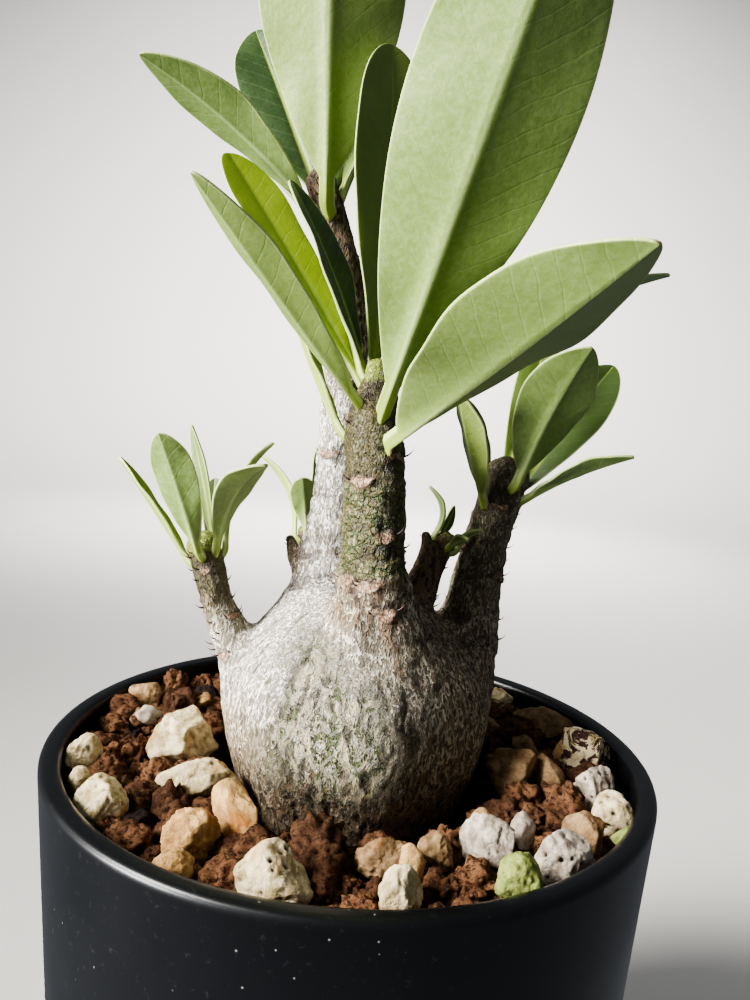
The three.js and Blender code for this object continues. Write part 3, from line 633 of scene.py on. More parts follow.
# x, y and radius of the crumbs that lie in plain view, then of the dark chips among them.
CRUMBS = [
    *([-38.3, 8.6, 3.0], [-38.0, -2.3, 2.5], [-34.1, -12.0, 2.8], [-32.3, -4.2, 2.3], [-29.1, -8.9, 1.8]),
    *([-30.4, 11.8, 3.6], [-33.5, 22.0, 3.0], [-29.3, 26.5, 2.6], [-25.7, 29.8, 2.4], [-24.5, 10.9, 1.7]),
    *([-27.5, -16.9, 2.0], [-25.9, -29.0, 2.6], [-3.0, -28.5, 4.2], [-7.4, -26.6, 1.9], [2.4, -37.0, 1.9]),
    *([1.0, -33.4, 1.5], [11.5, -32.6, 2.0], [13.9, -35.8, 1.9], [10.6, -37.6, 1.5], [16.0, -37.4, 1.3]),
    *([21.4, -14.6, 2.3], [25.2, -15.2, 2.4], [29.2, -15.7, 2.2], [27.9, 21.1, 2.4], [31.6, 20.6, 2.0]),
    *([32.9, -4.0, 1.6], [-0.6, -38.9, 1.4], [-24.3, -34.6, 1.3], [34.2, 8.4, 1.6], [22.4, -20.0, 1.9]),
]
CHIPS = [[-26.0, -23.8, 2.0], [-22.3, -33.4, 1.5], [-27.5, 18.8, 2.6], [-34.6, 2.2, 1.3], [25.5, 5.4, 1.8]]
BED_INNER, BED_OUTER = 20.6, 41.2
# Hollows beside the plant, [x, y, r], that stay free of large crumbs.
HOLLOWS = [
    *([0, -22, 3.6], [-7, -21, 3.4], [7, -21, 3.4], [-13.5, -17, 3.2]),
    *([13.5, -17, 3.2], [19.5, -9, 2.6], [21, 0, 2.2]),
]
BED_DIP, DIP_FROM, DIP_TO = 3.6, 19.5, 26.5  # how deep the bed dips, and between which radii it rises again


def bed_level(r):
    """Height of the bed at the distance r from the axis: it dips where the plant swelled."""
    return SOIL_LEVEL - BED_DIP * (1 - smooth_step(DIP_FROM, DIP_TO, r))


def thrown_in(taken, sizes, seed, overlap=0.86):
    """Circles [x, y, r] thrown in one after another, each kept if it stands clear of all others: the distance
    between two middles is at least "overlap" times the sum of their radii."""
    draw = np.random.default_rng(seed)
    kept = [list(c) for c in taken]
    for size in sizes:
        r = math.sqrt(draw.uniform((BED_INNER + size) ** 2, (BED_OUTER - size) ** 2))
        a = draw.uniform(0, math.tau)
        x, y = r * math.cos(a), r * math.sin(a)
        others = np.array(kept)
        if (np.hypot(others[:, 0] - x, others[:, 1] - y) > overlap * (others[:, 2] + size)).all():
            kept.append([x, y, size])
    return np.array(kept[len(taken) :])


stone_circles = [[at[0], at[1], 0.85 * (half[0] + half[1]) / 2] for _, at, half, *_ in STONES.values()]
large = thrown_in(stone_circles + CRUMBS + CHIPS + HOLLOWS, np.geomspace(3.4, 1.5, 5000), seed=5)
lying = [*stone_circles, *CRUMBS, *CHIPS, *large.tolist()]
small = thrown_in(lying, np.geomspace(1.4, 0.6, 9000), seed=6, overlap=0.72)
print("crumbs:", len(CRUMBS) + len(large), "small ones:", len(small))

# %% Crumbs as meshes


def lumps(circles, shape, seed, rough, lift=0.38, flat=0.85):
    """Many rough balls at once, one on each circle [x, y, r]. Each has its own turn and stretch, a broad
    noise for its form, and ridged noise for its crumbling surface: 1 - |n| is sharp where the noise n passes
    through nothing."""
    circles = np.asarray(circles, float)
    draw = np.random.default_rng(seed)
    points, faces = shape
    count, each = len(circles), len(points)
    spin, _ = np.linalg.qr(draw.normal(size=(count, 3, 3)))
    spin *= np.sign(np.linalg.det(spin))[:, None, None]
    stretch = draw.uniform(0.75, 1.12, (count, 1, 3))
    base = np.einsum("nij,mj->nmi", spin, points) * stretch
    where = (points[None] + draw.uniform(-90, 90, (count, 1, 3))).reshape(-1, 3)
    form = 1 + 0.42 * fractal(where * 1.25, 2, 0.5)
    form += rough * (0.5 - np.abs(fractal(where * 2.1, 3, 0.6, seed=5)))
    base *= form.reshape(count, each, 1)
    base[..., 2] *= flat
    level = bed_level(np.hypot(circles[:, 0], circles[:, 1]))
    middle = np.column_stack([circles[:, :2], level + lift * circles[:, 2]])
    base = base * circles[:, None, 2:] + middle[:, None]
    all_faces = faces[None] + each * np.arange(count)[:, None, None]
    return base.reshape(-1, 3), all_faces.reshape(-1, 3), np.repeat(draw.uniform(0, 1, count), each)


def soil_finish(name, light, mid, dark):
    """Baked clay: a warm colour that differs from crumb to crumb, grainy, with painted shade in its hollows.
    """
    finish = Finish(name, Roughness=0.97)
    finish.shader.inputs["Specular IOR Level"].default_value = 0.1
    base = finish.mix(finish.span(finish.noise(420, 5, 0.65), 0.34, 0.66), mid, light)
    base = finish.mix(finish.math("MULTIPLY", finish.carried("lot"), 0.7), base, dark)
    grit = finish.noise(1500, 5, 0.75)
    # Painted shade: the grit's low places, the hollows of its bumps, are darkened.
    base = finish.mix(finish.span(grit, 0.53, 0.40), base, dark)
    finish.paint(base)
    finish.relief((grit, 0.45), (finish.noise(4200, 3, 0.7), 0.12))
    return finish.material


clay = soil_finish("baked_clay", "8e6749", "6c4934", "33231a")
peat_and_gap_shade = soil_finish("dark_chip", "4a3935", "2f2423", "171111")

# %% [markdown]
# The bed itself is a ruffled ring between the plant and the pot. It is darker than the crumbs, a painted
# shade for the gaps between them where alone it shows. Its edges go straight down and meet below, so that it
# is closed.

# %% The bed between the crumbs
BED_START, POT_GAP, UNDERSIDE = 15, 0.25, 60  # inner radius, gap to the pot's wall, height of the underside
rows, columns = 60, 240
r = np.linspace(BED_START, RIM_RADIUS - LIP_WIDTH - POT_GAP, rows)[:, None]
a = np.linspace(0, math.tau, columns, endpoint=False)
top = np.stack(np.broadcast_arrays(r * np.cos(a), r * np.sin(a), bed_level(r)), -1)
top[..., 2] += 0.55 * fractal(top.reshape(-1, 3) / 1.6, 3, 0.6).reshape(rows, columns) - 0.4
low = top[[-1, 0]] * [0.985, 0.985, 0] + [0, 0, UNDERSIDE]
bed = np.concatenate([low[1:], top, low[:1]])
bed_points = bed.reshape(-1, 3)
bed_quads = grid_faces(len(bed), columns, closed=True)
side = np.arange(columns)
after, end = (side + 1) % columns, (len(bed) - 1) * columns
floor_quads = np.stack([end + side, end + after, after, side], -1)
bed_mesh = mesh_of("soil_bed", bed_points, np.vstack([bed_quads, floor_quads])[:, ::-1])
# Painted shade: the bed takes the dark chip colour, near its darkest, for the shade in the gaps between
# crumbs.
place("soil_bed", bed_mesh, peat_and_gap_shade, "clay_grit", ["soil"], lot=np.full(len(bed_points), 0.8))

print("bed points:", len(bed_points))

# %% The crumbs, the grains and the dark chips
points, faces, lot = lumps([*CRUMBS, *large.tolist()], ball(3), seed=11, rough=0.55)
place("clay_crumbs", mesh_of("clay_crumbs", points, faces), clay, "clay_grit", lot=lot)
points, faces, lot = lumps(small, ball(1), seed=12, rough=0.45, lift=0.15)
place("clay_grains", mesh_of("clay_grains", points, faces), clay, "clay_grit", lot=lot)
points, faces, lot = lumps(CHIPS, ball(3), seed=13, rough=0.3)
place("dark_chips", mesh_of("dark_chips", points, faces), peat_and_gap_shade, "clay_grit", lot=lot)
print("dark chips:", len(CHIPS))

# %% [markdown]
# ## Stems
#
# A stem is a curve with a radius. The curve is a centripetal Catmull-Rom spline, which passes through its
# points without loops, and it is the same one that shapes the solid, so leaves and scars land where the
# solid has them.

# %% The stems' middle lines
STEMS = {
    "front": (
        [[2.5, -6, 90], [1.8, -8.4, 101], [1, -9, 109], [0.5, -8.6, 119], [-0.2, -8, 128], [-0.3, -8, 136]],
        [11, 6.2, 4.5, 4.3, 4.2, 1.4],
    ),
    "trunk": (
        [[-4.6, 3, 90], [-4.9, 7, 101], [-5, 8, 114], [-5.2, 8.4, 128], [-6.6, 8.4, 150], [-11.6, 8, 165.5]],
        [12, 6.7, 4.6, 3.8, 3, 2.3],
    ),
    "left": ([[-13, 0, 86], [-18.4, -0.6, 92.5], [-22, -1, 99.5], [-24.8, -1, 108.7]], [6.5, 3.4, 2.4, 2.5]),
    "right": (
        [[12.5, 3, 83], [16.6, 3.8, 92], [17.4, 4, 102], [18.8, 4, 112], [21.2, 4, 122.5]],
        [8, 5.2, 4.2, 3.5, 3.4],
    ),
    "bud": ([[5.4, -4.5, 94], [7.2, -3, 100], [9.2, -1.2, 106], [12.2, 0.4, 111.6]], [6.4, 3.4, 2, 1.6]),
    "sprout": ([[-6, 10, 98], [-9.4, 15, 103], [-10.9, 18, 109]], [3.4, 1.8, 1.4]),
    "trunk_stub": ([[-8, 6.5, 103], [-11.6, 6.8, 106.2], [-12.6, 7, 109]], [1.8, 1, 0.5]),
    "bud_stub": ([[8.8, -1.6, 105], [9, -1.6, 109], [8.7, -1.6, 112.4]], [1.4, 0.9, 0.6]),
}


def spline(points, t):
    """Centripetal Catmull-Rom curve through the points: knots lie as far apart as the square root of the
    distance between points, and each span is the cubic with the slopes that those knots give."""
    points = np.array(points, float)
    ends = [2 * points[0] - points[1], 2 * points[-1] - points[-2]]
    padded = np.vstack([ends[0], points, ends[1]])
    place_on = np.clip(t, 0, 1) * (len(points) - 1)
    span = np.minimum(place_on.astype(int), len(points) - 2)
    w = (place_on - span)[:, None]
    p0, p1, p2, p3 = (padded[span + i] for i in range(4))
    gaps = (p1 - p0, p2 - p1, p3 - p2)
    d0, d1, d2 = (np.sqrt(np.linalg.norm(gap, axis=1, keepdims=True)) for gap in gaps)
    m1 = d1 * ((p1 - p0) / d0 - (p2 - p0) / (d0 + d1) + (p2 - p1) / d1)
    m2 = d1 * ((p2 - p1) / d1 - (p3 - p1) / (d1 + d2) + (p3 - p2) / d2)
    return p1 + m1 * w + (3 * (p2 - p1) - 2 * m1 - m2) * w**2 + (2 * (p1 - p2) + m1 + m2) * w**3


def stem_at(name, t):
    """Middle, radius, direction and two directions across a stem, for an array of t from 0 to 1."""
    points, radii = STEMS[name]
    t = np.atleast_1d(np.asarray(t, float))
    middle = spline(points, t)
    step = 1e-4
    along = spline(points, np.clip(t + step, 0, 1)) - spline(points, np.clip(t - step, 0, 1))
    along /= np.linalg.norm(along, axis=1, keepdims=True)
    across = np.array([1.0, 0, 0]) - along * along[:, :1]
    across /= np.linalg.norm(across, axis=1, keepdims=True)
    radius = np.interp(t * (len(radii) - 1), range(len(radii)), radii)
    return middle, radius, along, across, np.cross(along, across)


def stem_length(name):
    """Length of a stem's middle line, added up over 200 short steps."""
    return np.linalg.norm(np.diff(spline(STEMS[name][0], np.linspace(0, 1, 201)), axis=0), axis=1).sum()


LENGTH = {name: stem_length(name) for name in STEMS}
print({name: round(float(length), 1) for name, length in LENGTH.items()})

# %% [markdown]
# ## The plant's body
#
# The caudex, the trunks and the stems grew as one, so they flow into each other. Separate tubes would meet in
# hard creases. So the tubes are only a rough start: Blender's voxel remesh wraps one even skin round them,
# and then every point of it is moved onto a smooth field. The field says how far a point is from the nearest
# stem, and where two are near, it blends them, which fills the crotches as wood does.

# %% The field that the skin follows
CAUDEX = [[16.5, 70], [18.2, 75], [19.9, 81], [20.3, 86], [19.2, 91], [16.2, 95.5], [11.5, 99.5], [5.5, 102]]
SAMPLE_GAP = 0.35
TIP_GAP = 0.3  # how far the last ball lies before a stem's tip, as a share of the radius there
CAUDEX_MIDDLE, CAUDEX_REACH = 86, 16  # the height of its middle, and how far its ends lie from there
BLEND = 2.6  # how far the smoothing reaches where two stems meet
caudex_line = spline(CAUDEX, np.linspace(0, 1, 200))


def smoothed(values, reach):
    """Values averaged with their neighbours, with the ends held."""
    padded = np.pad(values, reach, mode="edge")
    return np.convolve(padded, np.ones(2 * reach + 1) / (2 * reach + 1), "valid")


def balls_along(name):
    """Samples of a stem's middle line. The last ball lies a little before the stem's tip, so that it stands
    out there by 0.7 of its radius, as the solid's low dome does."""
    count = int(LENGTH[name] / SAMPLE_GAP)
    reach = 1 - TIP_GAP * STEMS[name][1][-1] / LENGTH[name]
    t = np.linspace(0, reach, count)
    middle, radius, *frames = stem_at(name, t)
    return middle, smoothed(radius, 4), *frames, t


STRUNG = {name: balls_along(name) for name in STEMS}


def off_stem(points, name):
    """Distance from a stem's skin, |p - c| - r for the ball where that is least, the way out, and which
    ball."""
    middle, radius = STRUNG[name][:2]
    squares = (points**2).sum(1)[:, None] - 2 * points @ middle.T + (middle**2).sum(1)
    index = (np.sqrt(np.maximum(squares, 0)) - radius).argmin(1)
    away = points - middle[index]
    distance = np.linalg.norm(away, axis=1)
    return distance - radius[index], away / distance[:, None], index


def lobes(angle, z):
    """The caudex is a little lobed: 1 plus two low waves round it."""
    return 1 + 0.018 * np.sin(3 * angle + 0.9) + 0.014 * np.sin(7 * angle + z * 0.06)


def off_caudex(points):
    """Distance from the caudex: how far outside its profile's radius, times the cosine of its slope, or how
    far above or below its ends."""
    x, y, z = points.T
    angle, reach = np.arctan2(y, x), np.hypot(x, y)
    radius = np.interp(z, caudex_line[:, 1], caudex_line[:, 0])
    slope = np.gradient(caudex_line[:, 0], caudex_line[:, 1])
    slope = np.interp(z, caudex_line[:, 1], slope)
    lean = 1 / np.sqrt(1 + slope**2)
    around = (reach / lobes(angle, z) - radius) * lean
    out = np.column_stack([np.cos(angle) * lean, np.sin(angle) * lean, -slope * lean])
    ends = np.abs(z - CAUDEX_MIDDLE) - CAUDEX_REACH
    beyond = ends > around
    out[beyond] = np.column_stack([0 * z, 0 * z, np.sign(z - CAUDEX_MIDDLE)])[beyond]
    return np.maximum(around, ends), out


# %% [markdown]
# Bark records how it grew. On the caudex it splits into fine upright ridges, and in front it lifts in small
# curled flakes with green showing between them. The stems carry the scars of fallen leaves: a pale shield
# with a raised lip below. Each rule below gives a relief in millimetres and marks for the colours, and the
# field blends them from stem to stem just as it blends the shape.

# %% Scars of fallen leaves
GOLDEN = math.pi * (3 - math.sqrt(5))
# For each stem: how far below the tip the scars start, and the step from one to the next.
SCAR_RULES = {"trunk": (6, 6), "left": (3.5, 2.6), "right": (5, 3.6), "bud": (1.8, 2.4), "sprout": (2.5, 3)}
SCARRED_SHARE = 0.72  # of a stem's length
SCARS = {}
for name, (start, step) in SCAR_RULES.items():
    drops = np.arange(start, SCARRED_SHARE * LENGTH[name], step)
    SCARS[name] = [(drop, turn * GOLDEN - math.pi / 2) for turn, drop in enumerate(drops)]
# On the front stem each has a place of its own: how far below the tip, and its angle in degrees.
FRONT_SCARS = [
    *((14, -35), (17.2, -117), (20, 100), (24, -68), (26, 20)),
    *((30, -138), (30.6, -95), (32, 150), (34.5, -75)),
]
SCARS["front"] = [(drop, math.radians(angle)) for drop, angle in FRONT_SCARS]
SCAR_HALF_WIDTH, SCAR_HALF_HEIGHT = 1.9, 0.85


def scar_marks(angle, radius, drop, scars):
    """Relief and colour of the scars. With x the distance round the stem and h the height above the scar's
    middle, its face is where (x / w)^2 + (h / k)^2 < 1, and its lip is a ridge along its lower edge. Noise
    moves x and h a little, so that no scar is a clean oval."""
    relief, face = np.zeros_like(drop), np.zeros_like(drop)
    flat = np.column_stack([4 * np.cos(angle), 4 * np.sin(angle), drop])
    tear, tug = fractal(flat * 0.7, 2, 0.5, seed=61), fractal(flat * 0.6, 2, 0.5, seed=67)
    for scar_drop, scar_angle in scars:
        size = np.clip(radius / 4, 0.45, 1)
        x = (np.mod(angle - scar_angle + math.pi, math.tau) - math.pi) * radius / size + 0.5 * tug
        h = (scar_drop - drop) / size + 0.45 * tear
        bend = h + 0.55 - 0.35 * (x / SCAR_HALF_WIDTH) ** 2
        within = 1 - smooth_step(0.45, 1.5, (x / SCAR_HALF_WIDTH) ** 2 + (h / SCAR_HALF_HEIGHT) ** 2)
        lip = np.exp(-((bend / 0.3) ** 2)) * (1 - smooth_step(1.3, 2.1, np.abs(x)))
        hollow = np.exp(-(((h - 0.8) / 0.35) ** 2)) * (1 - smooth_step(1.0, 1.8, np.abs(x)))
        relief += size * (0.04 * within + 0.34 * lip - 0.16 * hollow)
        face = np.maximum(face, within)
    return relief, face


# %% Bark rules
# Of these marks, brown and silver also carry the caudex's painted shade and painted light.
MARKS = ("relief", "flaky", "net", "olive", "brown_and_painted_shade", "scar", "silver_and_painted_light", "crown")
CROWNS = {"front": 1.0, "left": 0.8, "sprout": 0.8, "bud": 0.5}  # how green each stem's tip is


def caudex_bark(points):
    """Upright ridges from noise squeezed along the height, curled flakes in front, and painted light and
    shade.
    """
    x, y, z = points.T
    angle = np.arctan2(y, x)
    flat = np.column_stack([18 * np.cos(angle), 18 * np.sin(angle), z])
    bend = fractal(flat / 5.0, 3)[:, None] * [1.2, 1.2, 0.4]
    ridged = 1 - np.abs(fractal((flat + bend) * [0.9, 0.9, 0.16], 3, 0.55))
    turn = np.mod(angle + math.radians(92) + math.pi, math.tau) - math.pi
    front = np.exp(-((turn / 0.68) ** 2)) * smooth_step(73, 82, z) * (1 - smooth_step(99, 104, z))
    flaky = front * (0.6 + 0.4 * smooth_step(-0.35, 0.35, fractal(flat / 6.0, 2, seed=21)))
    rough = fractal((flat + bend) * [0.85, 0.85, 0.6], 3, 0.6, seed=23)
    relief = 0.32 * (ridged - 0.6) + 0.16 * flaky * rough
    # Painted shade: the right side, turned away from the lamps, is coloured dark brown. The caudex also turns
    # brown towards its foot.
    shaded = 0.6 * smooth_step(-0.1, 0.9, np.cos(angle - math.radians(-15)))
    brown_and_painted_shade = np.maximum(1 - smooth_step(74, 92, z), shaded)
    # Painted light: the upper left, which faces the lamps, is coloured pale silver.
    silver_and_painted_light = smooth_step(0.2, 0.9, 0.5 + 0.5 * np.cos(angle + math.radians(150))) * smooth_step(82, 95, z)
    return np.column_stack([relief, flaky, 0 * z, 0 * z, 0.75 * brown_and_painted_shade, 0 * z, silver_and_painted_light, 0 * z])


def stem_bark(name, points, index):
    """Scars, low rings and knobs, and where each kind of bark lies: olive and smooth where the stem is
    young, then the net of green cracks on the front stem, then silver or brown."""
    middle, radius, along, across, beside, t = STRUNG[name]
    away = points - middle[index]
    angle = np.arctan2((away * beside[index]).sum(1), (away * across[index]).sum(1))
    drop = (1 - t[index]) * LENGTH[name] - (away * along[index]).sum(1)
    flat = np.column_stack([4.5 * np.cos(angle), 4.5 * np.sin(angle), drop])
    bend = fractal(flat / 2.5, 3, seed=2)[:, None] * [0.6, 0.6, 0.5]
    relief, scar = scar_marks(angle, radius[index], drop, SCARS.get(name, []))
    grain = fractal((flat + bend) * [1.3, 1.3, 0.45], 3, 0.6, seed=5)
    rings = fractal((flat + bend) * [0.35, 0.35, 1.2], 3, 0.6, seed=6)
    thick = np.clip(radius[index] / 4, 0.3, 1)
    relief = relief + thick * (0.12 * grain + 0.16 * rings + 0.2 * fractal(flat / 3.3, 2, seed=8))
    zeros = np.zeros_like(drop)
    flaky, net, olive, brown_and_painted_shade, silver_and_painted_light = (zeros,) * 5
    if name == "front":
        net = smooth_step(16, 19.5, drop) * (1 - smooth_step(28, 31, drop))
        olive = 1 - smooth_step(14, 22, drop)
        silver_and_painted_light = 0.15 * smooth_step(27, 32, drop)
        brown_and_painted_shade = smooth_step(27, 31, drop) * smooth_step(-0.5, 0.3, grain)
        brown_and_painted_shade = np.maximum(brown_and_painted_shade, 0.25 * smooth_step(0.0, 0.5, rings) * smooth_step(12, 16, drop))
    elif name == "trunk":
        brown_and_painted_shade = 1 - smooth_step(13, 27, drop + 5 * rings)
        silver_and_painted_light = smooth_step(20, 34, drop)
        scar = scar * (0.45 + 0.4 * silver_and_painted_light)
    elif name == "left":
        olive = 0.65 - 0.5 * smooth_step(5, 16, drop)
        brown_and_painted_shade = 0.5 * smooth_step(0.0, 0.45, rings)
        silver_and_painted_light = 0.8 * smooth_step(3, 18, drop)
    elif name == "right":
        olive = 0.5 - 0.15 * smooth_step(14, 30, drop)
        brown_and_painted_shade = 0.2 + 0.3 * smooth_step(12, 30, drop + 4 * rings)
        silver_and_painted_light = 0.15 + zeros
        scar = 0.75 * scar
    elif name == "sprout":
        olive, brown_and_painted_shade = 0.7 + zeros, 0.5 + zeros
    else:
        brown_and_painted_shade = 1 - 0.5 * smooth_step(9, 15, drop) if name == "bud" else 0.9 + zeros
        olive = 0.5 * (1 - smooth_step(1, 3, drop))
        scar = 0.3 * scar
    crown_foot = 3.5 * thick + 2.0 * (name == "front")
    crown = CROWNS.get(name, 0.0) * (1 - smooth_step(0.8 * thick, crown_foot, drop))
    return np.column_stack([relief, flaky, net, olive, brown_and_painted_shade, scar, silver_and_painted_light, crown + zeros])


def skin(points, with_bark=False):
    """The whole field: distances a and b blend to a (1 - h) + b h - k h (1 - h), where h goes from 0 to 1 as
    b becomes the nearer. The way out and the bark's marks blend by the same h."""
    distance, out = off_caudex(points)
    marks = caudex_bark(points) if with_bark else None
    for name in STEMS:
        reach, away, index = off_stem(points, name)
        h = np.clip(0.5 + 0.5 * (distance - reach) / BLEND, 0, 1)
        distance = distance * (1 - h) + reach * h - BLEND * h * (1 - h)
        h = h[:, None]
        out = out * (1 - h) + away * h
        if with_bark:
            marks = marks * (1 - h) + stem_bark(name, points, index) * h
    return distance, out / np.linalg.norm(out, axis=1, keepdims=True), marks


# %% The rough tubes, the remesh and the move onto the field
VOXEL = 0.36


def rough_tube(name):
    """Rings round the stem's middle line, closed at its foot and by a dome at its tip: at the angle q above
    the last ring, a ring of radius r cos(q) lies r sin(q) further on."""
    middle, radius, along, across, beside, _ = STRUNG[name]
    q = np.radians([25, 50, 72, 86])[:, None]
    middle = np.vstack([middle, middle[-1] + along[-1] * radius[-1] * np.sin(q)])
    radius = np.concatenate([radius, radius[-1] * np.cos(q[:, 0])])
    across, beside = (np.vstack([way, np.repeat(way[-1:], len(q), 0)]) for way in (across, beside))
    a = np.linspace(0, math.tau, 24, endpoint=False)[None, :, None]
    ring = across[:, None] * np.cos(a) + beside[:, None] * np.sin(a)
    return closed_skin(middle[:, None] + ring * radius[:, None, None])


parts = [swept(caudex_line[::4], 48)] + [rough_tube(name) for name in STEMS]
shift = np.cumsum([0] + [len(points) for points, _ in parts])
rough_points = np.vstack([points for points, _ in parts])
rough = mesh_of("rough", rough_points, np.vstack([faces + s for (_, faces), s in zip(parts, shift)]))
holder = bpy.data.objects.new("rough", rough)
bpy.context.collection.objects.link(holder)
wrap = holder.modifiers.new("wrap", "REMESH")
wrap.mode, wrap.voxel_size = "VOXEL", VOXEL * MM
bpy.context.view_layer.update()
body_mesh = bpy.data.meshes.new_from_object(holder.evaluated_get(bpy.context.evaluated_depsgraph_get()))
bpy.data.objects.remove(holder)

points = points_of(body_mesh)
for _ in range(3):
    distance, out, _ = skin(points)
    points -= np.clip(distance, -1.5, 1.5)[:, None] * out
_, out, marks = skin(points, with_bark=True)
points += out * marks[:, :1]
body_mesh.vertices.foreach_set("co", (points * MM).ravel())
body_mesh.update()
print("plant skin points:", len(points), "highest relief in mm:", round(float(marks[:, 0].max()), 2))

# %% [markdown]
# The bark's colours follow its relief: pale papery skin on what stands out, green or brown in the grooves.
# The marks that the mesh carries say which colour belongs where, and fine noise breaks up their edges, so
# that no border looks drawn.

# %% Bark: the noises behind it
bark = Finish("desert_rose_bark", Roughness=0.74)
bark.shader.inputs["Specular IOR Level"].default_value = 0.42
upright = bark.stretched(1, 1, 0.3)
grit = bark.noise(2600, 4, 0.7)
slow = bark.noise(150, 4, 0.6)
wander = bark.noise(1450, 2, 0.5, 0.6, bark.stretched(1, 1, 0.34))
fibre = bark.noise(2600, 4, 0.7, 0.3, upright)
curl = bark.noise(430, 4, 0.62, 1.6, bark.stretched(1, 1, 0.7))


def crest(height, width, flat=0.0):
    """1 along the winding lines where a noise lies within "flat" of its middle value, 0 from "width" on."""
    away = bark.math("ABSOLUTE", bark.math("SUBTRACT", height, 0.5))
    return bark.span(away, width, flat)


def frayed(mark, low=0.35, high=0.65):
    """A mark whose border is broken up by fine noise."""
    noisy = bark.math("ADD", bark.carried(mark), bark.math("MULTIPLY", bark.math("SUBTRACT", grit, 0.5), 0.8))
    return bark.span(noisy, low, high)


def layer(under, over, share, strength=1.0):
    """The colour "over" laid on the colour "under"."""
    return bark.mix(bark.math("MULTIPLY", share, strength), under, over)


threads = bark.math("MULTIPLY", bark.span(fibre, 0.45, 0.66), 0.35)
ridge = bark.math("MAXIMUM", crest(wander, 0.09, 0.02), threads)
flaky = frayed("flaky", 0.25, 0.75)
flake_edge = crest(curl, 0.045)
flake = bark.math("MAXIMUM", bark.span(curl, 0.49, 0.56), bark.math("MULTIPLY", crest(wander, 0.06), 0.8))

# %% [markdown]
# The colours are laid on in the order in which they cover each other: brown grooves with pale crests, silver,
# which on the caudex's upper left is painted light, then the curled flakes in front with green between.

# %% Bark: ridges, silver and flakes
skin_colour = bark.mix(ridge, "4a3b28", "d0c3a6")
skin_colour = layer(skin_colour, "9c8a66", bark.span(slow, 0.45, 0.65), 0.35)
silver_and_painted_light = bark.mix(ridge, "9a9180", "f5f2ea")
# The silver layer is pale bark on the stems and painted light on the caudex's side that faces the lamps.
skin_colour = layer(skin_colour, silver_and_painted_light, bark.carried("silver_and_painted_light"), 0.9)
streaks = bark.noise(300, 3, 0.6, 0.4, bark.stretched(1, 1, 0.25))
between = bark.mix(bark.span(streaks, 0.40, 0.54), "453e2b", "4a5b2b")
flaked = bark.mix(flake, between, "b5aa8a")
flaked = layer(flaked, "e8e2d2", flake_edge, 0.75)
skin_colour = layer(skin_colour, flaked, flaky, 0.85)

# %% [markdown]
# Young stems are olive and freckled, old ones woody. On the front stem the skin has torn into plates, with
# green showing in the cracks. A Voronoi texture gives the distance to the nearest border between two cells,
# and wherever that is small, there is a crack.

# %% Bark: young skin, wood and the net of cracks
young = bark.mix(bark.span(grit, 0.38, 0.62), "37321b", "625a36")
young = layer(young, "b0a87a", bark.span(bark.noise(1700, 4, 0.8), 0.6, 0.68), 0.6)
skin_colour = layer(skin_colour, young, frayed("olive", 0.2, 0.7))
woody = bark.mix(bark.span(wander, 0.4, 0.6), "35261a", "7b6148")
# The woody brown is real wood on the stems and painted shade on the caudex's right side, away from the lamps.
skin_colour = layer(skin_colour, woody, frayed("brown_and_painted_shade", 0.15, 1.0), 0.9)

wavy = bark.add("ShaderNodeTexNoise", {"Vector": bark.here, "Scale": 900.0, "Detail": 3.0}).outputs["Color"]
wavy = bark.stretched(0.0011, 0.0011, 0.0011, wavy)
moved = bark.add("ShaderNodeVectorMath", {0: bark.here, 1: wavy}, operation="ADD").outputs[0]
plates = bark.cells(480, bark.stretched(1, 1, 1.9, moved), "DISTANCE_TO_EDGE")
crack = bark.math("MULTIPLY", bark.span(plates, 0.11, 0.03), bark.span(bark.noise(500, 3), 0.36, 0.5))
netted = bark.mix(bark.span(grit, 0.35, 0.65), "463f26", "7a734a")
netted = layer(netted, "b3ac84", bark.span(bark.noise(700, 3), 0.54, 0.64), 0.45)
netted = layer(netted, "34451a", crack, 0.95)
skin_colour = layer(skin_colour, netted, frayed("net", 0.3, 0.7))

# %% [markdown]
# Last come the scars, each with a dark rim and a tan face, the green crowns of the stems, and shade in every
# hollow. The same masks that chose the colours also raise the bumps.

# %% Bark: scars, crowns and relief
scar_face = bark.mix(bark.span(bark.noise(1500, 4, 0.7), 0.4, 0.6), "8a6148", "d6b99c")
skin_colour = layer(skin_colour, "46301f", frayed("scar", 0.12, 0.5), 0.6)
skin_colour = layer(skin_colour, scar_face, frayed("scar", 0.5, 1.0), 0.9)
fresh_green = bark.mix(bark.span(grit, 0.35, 0.65), "6f7a2a", "9dac4a")
skin_colour = layer(skin_colour, fresh_green, frayed("crown"), 0.9)
groove = bark.span(bark.carried("relief"), 0.0, -0.16)
skin_colour = layer(skin_colour, "3a3022", groove, 0.6)
glossy = bark.math("MAXIMUM", bark.carried("olive"), bark.carried("net"))
bark.paint(skin_colour, bark.span(glossy, 0, 1, 0.74, 0.42))
height_of = bark.math("MULTIPLY", flake, flaky)
edge_of = bark.math("MULTIPLY", flake_edge, flaky)
crack_of = bark.math("MULTIPLY", crack, bark.carried("net"))
bark.relief((ridge, 0.46), (height_of, 0.35), (edge_of, 0.40), (crack_of, -0.3), (grit, 0.10))
place("plant_skin", body_mesh, bark.material, "bark", ["plant_body"], **dict(zip(MARKS, marks.T)))
print("bark nodes:", len(bark.tree.nodes))

# %% [markdown]
# ## Bristles
#
# Where a leaf falls, a pair of dry, hooked bristles stays behind. They stand out against the light on both
# sides of every stem, so they matter more than their size suggests. Each is a thin tapering tube that bends
# up towards the tip of its stem.

